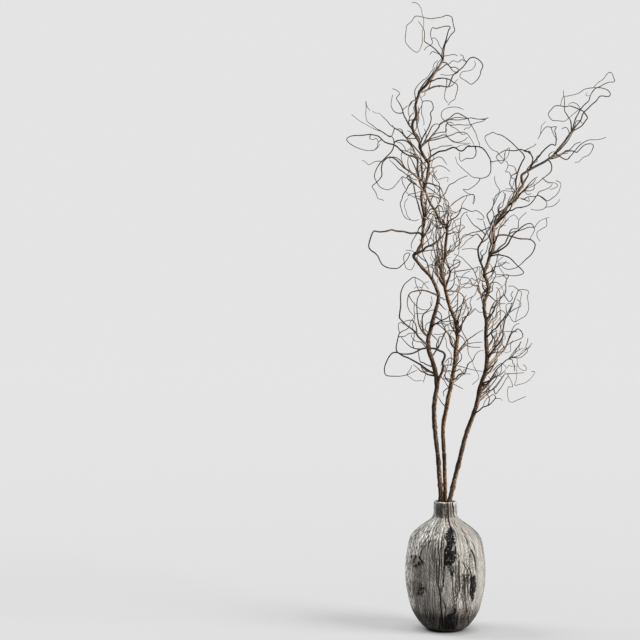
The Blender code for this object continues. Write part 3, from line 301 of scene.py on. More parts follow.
MIDDLE_STEM = [
    (5, 24, 32), (2, 150, 20), (-0.3, 300, 10), (-1.2, 350, 9), (-2.6, 400, 8), (-4.3, 430, 8),
    (-5.5, 465, 12), (-3.9, 485, 15), (-1.2, 500, 17), (2.8, 520, 20), (6, 540, 25), (11, 560, 28),
    (18.3, 600, 33), (22, 620, 36), (24, 650, 39), (27.6, 675, 40), (28.5, 690, 41), (24.8, 720, 43),
    (17.3, 740, 44), (10.8, 755, 45), (5.2, 775, 44), (0.5, 795, 42), (-2.3, 810, 40), (-5, 825, 37),
    (-6.5, 840, 34), (-6, 857, 30), (0, 876, 25), (0, 895, 18), (2, 913, 10), (4.5, 932, 6), (2, 947, 5),
    (-8.5, 952, 6), (-18, 969, 8), (-25, 984, 10), (-35, 999, 12), (-42, 1014, 14), (-48, 1029, 15),
    (-55, 1038, 15), (-60, 1050, 16), (-63, 1063, 17), (-65.5, 1081, 19), (-64.5, 1100, 20),
    (-66, 1106, 20),
]
RIGHT_STEM = [
    (-34, 24, -28), (-27, 100, -24), (-15, 200, -17), (-1.7, 250, -13), (10, 300, -10), (21.7, 350, -14),
    (34.3, 400, -18), (47, 450, -23), (64.7, 500, -32), (74.4, 530, -38), (78.4, 550, -42), (86, 580, -48),
    (93.5, 600, -52), (96.6, 619, -56), (98.3, 640, -60), (96.5, 665, -64), (95.5, 690, -67),
    (96.8, 722, -70), (93.3, 737, -70), (91.3, 756, -70), (93, 774, -68), (99, 786, -66), (101.7, 797, -64),
    (99, 812, -60), (96, 821, -58), (92.8, 831, -56), (93.3, 842, -53), (97, 851, -50), (104.5, 875, -44),
    (110, 887, -40), (113.5, 900, -37), (114, 915, -34), (112, 932, -31), (113, 943, -29),
    (119.5, 956, -26), (130.7, 969, -23), (148, 994, -16), (160, 1006, -12), (168, 1020, -9),
    (174, 1032, -6), (182, 1042, -3), (180, 1052, -2), (179, 1064, 0), (188, 1072, 2), (212, 1086, 7),
    (228, 1094, 10), (242, 1103, 13), (252, 1110, 15), (260, 1120, 17), (270, 1132, 20), (280, 1144, 22),
    (290, 1158, 24), (300, 1172, 26),
]
# (height, radius) of each stem
LEFT_GIRTH = [
    (0, 6.0), (300, 5.5), (500, 4.8), (700, 3.8), (770, 3.3), (900, 2.6), (1000, 2.3), (1150, 2.2),
    (1250, 2.0), (1300, 1.5), (1340, 1.0),
]
MIDDLE_GIRTH = [
    (0, 5.2), (300, 4.6), (560, 4.2), (650, 3.5), (750, 3.2), (850, 2.6), (950, 2.0), (1030, 1.6),
    (1110, 1.4),
]
RIGHT_GIRTH = [
    (0, 5.8), (300, 5.3), (500, 4.6), (650, 3.5), (700, 3.2), (930, 2.8), (1000, 2.3), (1080, 1.8),
    (1150, 1.3), (1180, 1.1),
]

# Side shoots: (root radius, depth reached, [(x, z), ...]), each after the one that it grows from
LEFT_SHOOTS = [
    (2.0, -45, [(-19, 571), (-15, 584), (-11, 594), (-6, 605), (-4, 616), (-7, 624), (-3, 633), (-1, 642),
     (-5, 649), (-14, 653), (-26, 658), (-52, 658), (-67, 651), (-80, 646), (-98, 645), (-111, 648),
     (-115, 655), (-115, 666), (-112, 679), (-109, 691), (-102, 698), (-91, 703), (-85, 709), (-82, 720),
     (-76, 728), (-72, 735)]),
    (0.9, 40, [(-12, 600), (-7, 617), (8, 619), (27, 618), (45, 613), (64, 608), (87, 604)]),
    (1.5, 50, [(-30, 596), (-48, 608), (-59, 618), (-72, 627), (-85, 635), (-100, 641), (-111, 648),
     (-123, 648), (-132, 639), (-139, 625), (-143, 612), (-142, 599), (-136, 594), (-123, 593), (-106, 593),
     (-91, 596), (-80, 601), (-67, 607)]),
    (0.7, 25, [(-91, 598), (-80, 588), (-70, 582), (-55, 583)]),
    (0.7, -15, [(-91, 598), (-83, 608), (-79, 618)]),
    (1.5, -80, [(-45, 663), (-59, 678), (-67, 687), (-72, 697), (-82, 706), (-96, 717), (-106, 728),
     (-108, 734), (-105, 758), (-105, 784), (-102, 797), (-95, 810), (-83, 820), (-76, 825), (-67, 823),
     (-55, 816), (-48, 808), (-40, 799)]),
    (1.3, 60, [(-41, 684), (-52, 694), (-57, 702), (-61, 711), (-64, 724), (-67, 756), (-65, 776),
     (-59, 786), (-56, 795), (-52, 808), (-46, 813), (-39, 815)]),
    (0.7, 20, [(-58, 802), (-67, 803), (-72, 800)]),
    (1.2, 90, [(-31, 636), (-22, 651), (-14, 664), (-5, 687), (0, 702), (-9, 719), (-9, 733), (-12, 741),
     (-22, 747), (-33, 748), (-48, 741), (-59, 740), (-70, 740)]),
    (0.9, -35, [(-37, 697), (-33, 692), (-22, 681), (-16, 674), (-18, 661)]),
    (1.3, -60, [(-17, 782), (-33, 789), (-44, 793), (-57, 795), (-70, 793), (-80, 790), (-86, 784),
     (-89, 771), (-89, 760), (-85, 748), (-78, 739), (-72, 733)]),
    (0.8, 30, [(-86, 782), (-80, 771), (-72, 762), (-61, 752), (-50, 749), (-40, 750), (-33, 758),
     (-31, 769), (-33, 780)]),
    (1.0, -70, [(-30, 706), (-18, 717), (-7, 724), (4, 730), (19, 741), (38, 760), (51, 773), (62, 779),
     (70, 785), (75, 800)]),
    (1.1, 60, [(-36, 825), (-39, 838), (-41, 852), (-44, 861), (-55, 869), (-64, 877), (-78, 887),
     (-92, 889)]),
    (1.9, -80, [(-68, 876), (-53, 885), (-44, 896), (-31, 902), (-18, 911), (-8, 920), (0, 931), (11, 935),
     (21, 942), (32, 947), (41, 948), (45, 944), (39, 939)]),
    (1.4, -90, [(-53, 924), (-61, 930), (-81, 929), (-98, 933), (-115, 934), (-126, 937), (-137, 934),
     (-154, 932), (-167, 934), (-172, 928), (-176, 917), (-179, 906), (-180, 897), (-175, 889), (-165, 882),
     (-158, 874), (-153, 863), (-147, 854), (-135, 848), (-122, 846), (-111, 847), (-102, 854), (-92, 864),
     (-86, 874), (-84, 882), (-91, 882), (-96, 878), (-98, 870), (-95, 855), (-91, 846), (-81, 843),
     (-75, 850), (-72, 859)]),
    (1.0, 45, [(-53, 951), (-61, 943), (-66, 930), (-76, 913), (-80, 902), (-79, 893)]),
    (1.3, 95, [(-53, 950), (-56, 969), (-61, 984), (-65, 1001), (-70, 1018), (-75, 1044), (-79, 1048),
     (-87, 1040), (-92, 1029), (-99, 1020), (-102, 1008), (-106, 999), (-103, 984), (-98, 971), (-91, 963),
     (-81, 960), (-72, 958), (-63, 961)]),
    (0.8, 30, [(-81, 960), (-89, 969), (-92, 980), (-96, 992), (-94, 1003), (-89, 1010)]),
    (0.9, -40, [(-56, 1031), (-64, 1025), (-74, 1022), (-83, 1021), (-88, 1016)]),
    (0.9, -50, [(-50, 920), (-38, 941), (-31, 958), (-25, 971)]),
    (1.5, -110, [(-56, 1048), (-70, 1059), (-81, 1070), (-96, 1082), (-109, 1095), (-119, 1104),
     (-130, 1108), (-139, 1104), (-147, 1095), (-150, 1082), (-149, 1066), (-152, 1059), (-161, 1049),
     (-167, 1044), (-172, 1038), (-165, 1027), (-161, 1018), (-159, 1011), (-150, 1008), (-145, 1006)]),
    (0.9, -25, [(-147, 1098), (-162, 1098), (-171, 1094), (-180, 1090), (-188, 1097), (-195, 1100)]),
    (1.4, 80, [(-46, 1103), (-59, 1117), (-68, 1127), (-78, 1138), (-87, 1147), (-100, 1162), (-109, 1170),
     (-119, 1176), (-130, 1184), (-136, 1192), (-147, 1203), (-155, 1211), (-162, 1211), (-171, 1215)]),
    (1.0, 40, [(-120, 1176), (-128, 1156), (-139, 1160), (-150, 1168), (-162, 1175), (-173, 1184),
     (-182, 1190), (-186, 1198), (-187, 1211), (-186, 1226), (-187, 1239), (-184, 1227), (-178, 1218)]),
    (0.7, 30, [(-150, 1168), (-165, 1173), (-184, 1183), (-203, 1194), (-219, 1207)]),
    (1.2, 60, [(-75, 1170), (-81, 1177), (-87, 1186), (-92, 1196), (-97, 1205), (-100, 1216), (-104, 1227),
     (-111, 1239), (-115, 1246), (-111, 1252), (-107, 1257), (-111, 1262), (-119, 1267), (-124, 1268)]),
    (0.8, 30, [(-100, 1216), (-106, 1212), (-115, 1212), (-122, 1217), (-127, 1227), (-127, 1239),
     (-124, 1253)]),
    (0.9, -50, [(-69, 1244), (-76, 1241), (-81, 1233), (-86, 1224), (-87, 1212), (-84, 1201)]),
    (1.0, -70, [(-55, 1140), (-50, 1156), (-42, 1171), (-36, 1186), (-33, 1199), (-35, 1211), (-29, 1220),
     (-29, 1229), (-33, 1238), (-42, 1240), (-53, 1238), (-55, 1229), (-56, 1211), (-51, 1196),
     (-50, 1184)]),
    (1.3, 110, [(-52, 1132), (-44, 1140), (-36, 1149), (-27, 1162), (-16, 1177), (-12, 1186), (1, 1194),
     (11, 1200), (20, 1208), (29, 1211), (38, 1207), (47, 1202), (54, 1197), (57, 1188), (61, 1183),
     (66, 1174), (72, 1162), (76, 1149), (80, 1140), (81, 1133)]),
    (0.8, 40, [(-12, 1186), (15, 1198), (29, 1201), (50, 1199), (59, 1200), (70, 1198), (91, 1196),
     (100, 1200)]),
    (1.1, 70, [(-44, 1138), (-38, 1143), (-27, 1147), (-12, 1152), (3, 1156), (18, 1161), (26, 1165),
     (35, 1166), (42, 1166), (51, 1163), (57, 1155), (63, 1146), (67, 1137)]),
    (1.3, -70, [(-38, 1100), (-33, 1108), (-25, 1114), (-12, 1122), (1, 1124), (9, 1127), (19, 1131),
     (25, 1129), (31, 1124), (38, 1122), (44, 1125), (51, 1132), (62, 1133), (73, 1133), (85, 1130),
     (94, 1122), (101, 1111), (106, 1100), (107, 1080), (105, 1070), (98, 1062), (86, 1058), (75, 1059),
     (64, 1061), (52, 1071), (38, 1083), (28, 1094), (24, 1108)]),
    (0.8, 30, [(70, 1130), (72, 1118), (69, 1109), (63, 1105), (48, 1104), (38, 1098), (34, 1103),
     (33, 1118)]),
    (1.0, 60, [(-40, 1060), (-36, 1064), (-32, 1072), (-27, 1081), (-20, 1086), (-10, 1087), (1, 1082),
     (10, 1074)]),
    (0.7, 25, [(-25, 1072), (-22, 1063), (-18, 1055), (-8, 1058), (6, 1060), (5, 1050)]),
    (1.1, -90, [(-46, 1046), (-38, 1046), (-25, 1042), (-14, 1038), (-8, 1029), (-5, 1020), (0, 1008),
     (4, 990), (12, 979), (16, 969)]),
    (0.8, 45, [(-40, 1036), (-29, 1029), (-16, 1018), (-3, 1008), (-4, 995), (0, 980), (0, 966)]),
    (1.0, -40, [(-6, 1335), (-12, 1347), (-20, 1357), (-28, 1365), (-38, 1372), (-49, 1380), (-49, 1390),
     (-49, 1402), (-53, 1412), (-62, 1425)]),
    (1.0, -80, [(-5, 1335), (-3, 1358), (-2, 1367), (1, 1377), (3, 1388), (6, 1400), (8, 1407), (12, 1412),
     (10, 1415), (-2, 1415), (-13, 1412), (-22, 1410), (-30, 1412), (-33, 1407), (-35, 1397), (-33, 1387),
     (-30, 1378), (-33, 1372), (-43, 1367), (-49, 1360)]),
    (1.0, -100, [(0, 1375), (7, 1385), (13, 1395), (20, 1402), (22, 1407), (19, 1418), (17, 1430),
     (14, 1438), (2, 1441), (-7, 1437), (-20, 1435), (-33, 1433), (-47, 1435), (-69, 1439), (-79, 1427),
     (-90, 1417), (-92, 1408), (-94, 1382), (-88, 1370), (-78, 1360), (-68, 1354), (-61, 1358), (-57, 1368),
     (-54, 1377), (-54, 1403), (-51, 1413), (-51, 1433), (-54, 1443), (-57, 1457), (-62, 1465), (-68, 1470),
     (-78, 1471)]),
    (0.9, 30, [(-8, 1330), (3, 1328), (12, 1319), (23, 1319), (31, 1313), (30, 1308), (20, 1302), (3, 1300),
     (-10, 1302)]),
    (1.2, 70, [(-58, 1260), (-48, 1262), (-37, 1267), (-27, 1272), (-13, 1275), (-3, 1274), (7, 1273),
     (12, 1283), (15, 1293), (20, 1302), (30, 1310), (40, 1318), (48, 1328), (55, 1338), (62, 1342),
     (68, 1342), (78, 1337), (86, 1328), (88, 1320), (84, 1312), (82, 1302), (77, 1292), (68, 1283),
     (60, 1279), (48, 1287), (38, 1293), (34, 1298), (40, 1308), (58, 1311), (67, 1318), (71, 1327),
     (68, 1333)]),
    (1.0, -40, [(-38, 1284), (-28, 1287), (-20, 1291), (-12, 1293), (-3, 1293), (10, 1290), (18, 1284),
     (27, 1279), (29, 1270), (27, 1260), (24, 1250), (22, 1244), (12, 1237), (7, 1230)]),
    (0.7, 20, [(5, 1292), (2, 1272), (-1, 1260), (-2, 1247), (4, 1237)]),
    (0.7, 25, [(-56, 1266), (-47, 1257), (-52, 1251), (-58, 1248)]),
    (0.9, 60, [(-70, 1240), (-72, 1260), (-70, 1268), (-63, 1278), (-53, 1288), (-42, 1295), (-35, 1306),
     (-29, 1315), (-27, 1326), (-19, 1334)]),
]
MIDDLE_SHOOTS = [
    (0.9, -30, [(2, 519), (-8, 530), (-17, 545), (-20, 549)]),
    (0.8, 55, [(10, 562), (2, 575), (-4, 590), (3, 605)]),
    (1.3, -60, [(16, 582), (26, 588), (33, 597), (46, 601), (50, 612), (54, 622), (65, 631), (70, 642),
     (78, 651), (90, 654)]),
    (0.9, 40, [(14, 572), (33, 590), (46, 598), (58, 598)]),
    (1.5, 70, [(24, 642), (33, 655), (44, 668), (52, 678), (65, 687), (76, 695), (88, 701)]),
    (0.9, 90, [(44, 667), (52, 669), (70, 672), (86, 673)]),
    (0.8, 60, [(52, 678), (54, 648), (60, 636), (63, 629), (68, 614)]),
    (0.9, 80, [(21, 630), (12, 636), (4, 631), (-1, 625), (-11, 618)]),
    (1.2, 70, [(-5, 832), (15, 837), (45, 842), (63, 845), (80, 851)]),
    (1.1, 90, [(0, 793), (24, 792), (36, 788), (45, 776), (49, 763), (48, 752), (41, 741), (30, 730)]),
    (1.1, -55, [(28, 695), (36, 700), (40, 719), (41, 730), (56, 737), (70, 750)]),
    (1.2, 110, [(26, 680), (20, 700), (13.6, 712), (9, 735), (9, 750), (16, 768), (26, 782), (34, 800),
     (30, 820)]),
    (1.3, 130, [(25, 655), (14, 668), (8, 690), (-6, 706), (-20, 716), (-36, 720), (-46, 712), (-44, 698),
     (-30, 690)]),
    (1.1, 90, [(-42, 1013), (-30, 1016), (-14, 1012), (-1, 1022), (4, 1033), (10, 1043), (21, 1048),
     (32, 1056), (52, 1064)]),
    (1.1, 70, [(2, 945), (4, 958), (10, 988), (21, 1001), (31, 1008), (40, 1014), (53, 1018), (67, 1019),
     (65, 1000)]),
    (1.0, -60, [(4, 940), (8, 957), (24, 966), (33, 977), (39, 988), (53, 983), (62, 980), (73, 982),
     (84, 975), (91, 966), (86, 961), (75, 963)]),
    (1.0, 60, [(-2, 812), (-14, 822), (-26, 838), (-30, 856), (-22, 872), (-12, 884)]),
    (1.0, 100, [(0, 880), (14, 890), (24, 904), (26, 922), (16, 938), (20, 956), (34, 964)]),
    (1.1, 55, [(-25, 984), (-16, 996), (-10, 1012), (-16, 1030), (-28, 1044), (-30, 1062), (-20, 1076)]),
    (1.3, 60, [(-66, 1104), (-76, 1110), (-85, 1112), (-96, 1117), (-106, 1125), (-113, 1132), (-122, 1137),
     (-135, 1140), (-145, 1145), (-156, 1156), (-165, 1159), (-178, 1161), (-195, 1159), (-216, 1158),
     (-227, 1155), (-232, 1149), (-225, 1140), (-212, 1132), (-193, 1125), (-176, 1123), (-162, 1127),
     (-154, 1138)]),
    (1.2, 100, [(-65, 1096), (-76, 1128), (-87, 1142), (-96, 1147), (-109, 1147), (-119, 1143),
     (-122, 1130), (-128, 1119), (-135, 1112), (-147, 1100), (-156, 1090), (-162, 1079), (-166, 1068),
     (-166, 1059), (-161, 1049), (-154, 1038), (-145, 1033), (-135, 1031), (-126, 1034), (-118, 1041),
     (-109, 1052), (-102, 1061)]),
]
RIGHT_SHOOTS = [
    (1.1, -45, [(66, 502), (80, 512), (88, 520), (100, 524), (108, 530), (118, 543), (112, 550), (105, 545),
     (98, 541), (93, 534), (89, 524)]),
    (0.7, -15, [(116, 541), (130, 540), (133, 537)]),
    (1.3, 60, [(76, 533), (83, 536), (95, 547), (102, 554), (113, 564), (124, 577), (132, 588), (139, 597),
     (149, 599), (158, 599), (184, 601)]),
    (0.9, 45, [(144, 598), (154, 582), (158, 568), (149, 568), (146, 558), (147, 543), (150, 534),
     (158, 532), (169, 537), (179, 541), (188, 545)]),
    (0.8, 35, [(113, 564), (118, 552), (126, 560), (134, 571), (141, 584), (147, 592)]),
    (1.3, -60, [(84, 572), (98, 575), (108, 588), (121, 609), (132, 620), (141, 629), (151, 635),
     (158, 640), (169, 659), (177, 672)]),
    (1.0, -60, [(151, 635), (167, 637), (169, 625), (168, 609), (167, 586), (163, 572), (175, 574),
     (188, 578), (199, 586), (208, 597), (211, 603), (203, 604)]),
    (0.8, 30, [(163, 648), (175, 646), (184, 655), (194, 657), (201, 666)]),
    (1.0, 50, [(98, 636), (104, 652), (111, 659), (117, 666), (122, 681), (120, 693)]),
    (1.4, 80, [(97, 605), (110, 622), (124, 640), (132, 648), (141, 659), (147, 672), (151, 683),
     (156, 694), (164, 699), (169, 704), (177, 700), (182, 691), (180, 683), (169, 678), (156, 672),
     (153, 665), (153, 652), (141, 648)]),
    (1.5, -50, [(98, 630), (110, 650), (124, 668), (132, 680), (136, 690), (135, 697), (138, 716),
     (142, 730), (147, 736), (153, 749), (159, 762), (163, 774), (168, 786), (171, 795), (166, 800),
     (158, 805), (149, 804)]),
    (0.9, -30, [(170, 794), (179, 796), (194, 794), (196, 790), (193, 782), (194, 771), (196, 756),
     (194, 745), (187, 734), (175, 727), (164, 721), (157, 724), (151, 735)]),
    (0.8, 40, [(171, 797), (179, 791), (176, 771), (172, 752), (167, 735), (165, 721)]),
    (0.8, -30, [(150, 684), (160, 708), (166, 714), (173, 717)]),
    (1.2, 70, [(97, 720), (104, 738), (107, 750), (114, 764), (123, 774), (129, 778), (138, 784),
     (142, 793), (142, 810), (143, 818), (148, 826), (148, 831), (140, 831), (131, 828), (116, 825),
     (106, 821)]),
    (0.7, 30, [(146, 735), (143, 748), (144, 762), (157, 764)]),
    (0.9, -60, [(100, 806), (110, 813), (121, 813), (131, 806), (134, 797)]),
    (1.2, -60, [(93, 738), (88, 765), (82, 790), (77, 812), (71, 832), (64, 845), (50, 860), (38, 872),
     (21, 880)]),
    (0.8, -40, [(82, 790), (75, 803), (65, 806), (56, 811), (45, 811)]),
    (1.6, 60, [(93, 836), (86, 853), (80, 868), (77, 885), (77, 893), (80, 900), (86, 910), (93, 923),
     (100, 935), (107, 944), (104, 954), (98, 971), (104, 980), (111, 990), (114, 1002), (118, 1016),
     (128, 1028), (120, 1042), (116, 1054), (116, 1062)]),
    (1.0, 60, [(94, 925), (80, 939), (65, 950), (56, 963), (49, 974)]),
    (1.2, -40, [(106, 944), (93, 938), (78, 933), (63, 930), (50, 924), (37, 916), (20, 903), (11, 894),
     (2, 875)]),
    (0.9, -40, [(88, 912), (82, 920), (76, 926), (71, 926), (60, 918), (50, 911), (43, 902), (34, 894)]),
    (0.8, -30, [(78, 890), (60, 893), (39, 891)]),
    (1.3, 80, [(110, 884), (121, 887), (129, 896), (140, 905), (144, 913), (151, 927), (160, 932),
     (170, 934), (183, 938), (196, 943), (207, 942), (210, 938), (207, 930), (202, 922), (200, 916)]),
    (1.4, -70, [(108, 878), (121, 883), (134, 892), (146, 902), (153, 915), (160, 926), (170, 935),
     (179, 943), (190, 950), (200, 952), (206, 947), (209, 942), (215, 950), (222, 958), (231, 962),
     (243, 966)]),
    (0.8, -25, [(237, 962), (239, 952), (237, 945), (228, 940), (217, 933), (215, 926), (217, 918),
     (222, 911)]),
    (1.3, 110, [(114, 915), (122, 922), (131, 925), (146, 924), (160, 920), (175, 916), (196, 915),
     (205, 911), (211, 903), (209, 892), (202, 879), (190, 868), (172, 851), (160, 846), (149, 844),
     (140, 846), (131, 853), (127, 858), (134, 859), (142, 860), (150, 858)]),
    (1.1, -95, [(105, 876), (123, 879), (134, 877), (147, 873), (157, 866), (168, 854), (177, 846),
     (184, 837), (179, 832), (162, 829), (149, 830), (136, 831), (119, 832)]),
    (0.9, -50, [(112, 986), (116, 998), (122, 1014), (133, 1028), (148, 1028), (166, 1026)]),
    (0.9, 50, [(126, 965), (124, 984), (134, 992), (137, 1006), (140, 1018), (136, 1026)]),
    (0.8, -60, [(144, 990), (150, 1010), (158, 1023)]),
    (1.2, -80, [(168, 1022), (165, 1046), (166, 1056), (169, 1068), (173, 1080), (180, 1096), (186, 1107),
     (182, 1116), (170, 1128), (158, 1140), (146, 1150), (136, 1157), (126, 1161), (120, 1162), (112, 1166),
     (103, 1162), (95, 1158), (93, 1153), (95, 1146), (100, 1137), (107, 1128), (114, 1123), (121, 1121)]),
    (0.8, -40, [(168, 1066), (164, 1082), (160, 1086), (148, 1089)]),
    (1.1, 80, [(196, 1080), (202, 1092), (205, 1106), (200, 1116), (198, 1121), (188, 1121), (178, 1126),
     (166, 1123), (154, 1123), (142, 1124), (130, 1118), (122, 1112), (120, 1107), (126, 1098), (132, 1093),
     (138, 1102), (141, 1120)]),
    (1.2, -70, [(196, 1080), (208, 1098), (220, 1110), (228, 1120), (238, 1130), (250, 1138), (259, 1136),
     (260, 1158), (257, 1170), (261, 1179), (248, 1178), (238, 1179), (230, 1172), (224, 1162),
     (218, 1151)]),
    (0.7, -30, [(224, 1162), (226, 1180), (236, 1191)]),
    (1.1, 60, [(248, 1106), (268, 1112), (280, 1119), (292, 1122), (300, 1122), (309, 1119), (316, 1126),
     (324, 1134), (332, 1138), (342, 1139), (348, 1135), (344, 1122), (336, 1112), (324, 1107), (314, 1097),
     (305, 1095)]),
    (0.9, -60, [(260, 1116), (283, 1102), (294, 1110), (304, 1122), (314, 1134), (326, 1143), (338, 1148),
     (360, 1149), (377, 1154)]),
    (1.0, -40, [(298, 1168), (295, 1191), (290, 1200), (284, 1210), (280, 1217), (280, 1231), (280, 1245),
     (278, 1252), (277, 1264)]),
    (1.0, 50, [(299, 1169), (305, 1194), (311, 1207), (318, 1220), (327, 1231), (337, 1240), (340, 1250),
     (345, 1260), (353, 1269), (364, 1274), (375, 1280), (386, 1284), (394, 1284), (398, 1287), (395, 1295),
     (392, 1304), (386, 1307), (380, 1303), (370, 1290), (359, 1283), (348, 1271)]),
    (1.0, -60, [(296, 1166), (310, 1184), (318, 1194), (321, 1204), (325, 1212), (334, 1221), (345, 1232),
     (354, 1239), (364, 1251), (383, 1250), (388, 1256), (383, 1264), (375, 1268), (361, 1271), (340, 1270),
     (327, 1267), (318, 1261), (308, 1256), (286, 1251), (278, 1250), (274, 1242), (270, 1227)]),
    (1.0, 90, [(297, 1166), (311, 1174), (321, 1181), (329, 1192), (334, 1200), (330, 1207), (324, 1215),
     (315, 1220), (305, 1224), (292, 1228), (282, 1226), (271, 1228), (258, 1228), (250, 1221), (243, 1212),
     (242, 1207), (246, 1200), (252, 1194), (266, 1193), (279, 1192), (287, 1197), (295, 1204),
     (313, 1219)]),
    (1.0, 60, [(162, 1008), (172, 1012), (184, 1009), (196, 1015), (214, 1016), (220, 1026), (236, 1032),
     (248, 1039), (251, 1047), (242, 1047), (232, 1054), (228, 1059)]),
    (1.0, -80, [(136, 976), (148, 981), (158, 983), (166, 988), (180, 990), (194, 994), (204, 1002),
     (210, 1010), (216, 1018), (230, 1012), (240, 1005), (252, 1012), (262, 1020), (268, 1030), (271, 1046),
     (260, 1053)]),
    (1.0, 70, [(240, 1101), (246, 1096), (250, 1086), (248, 1074), (240, 1066), (230, 1058), (220, 1050),
     (208, 1041), (194, 1035)]),
    (0.8, 60, [(122, 959), (134, 948), (142, 956), (149, 965), (162, 972), (171, 962)]),
]

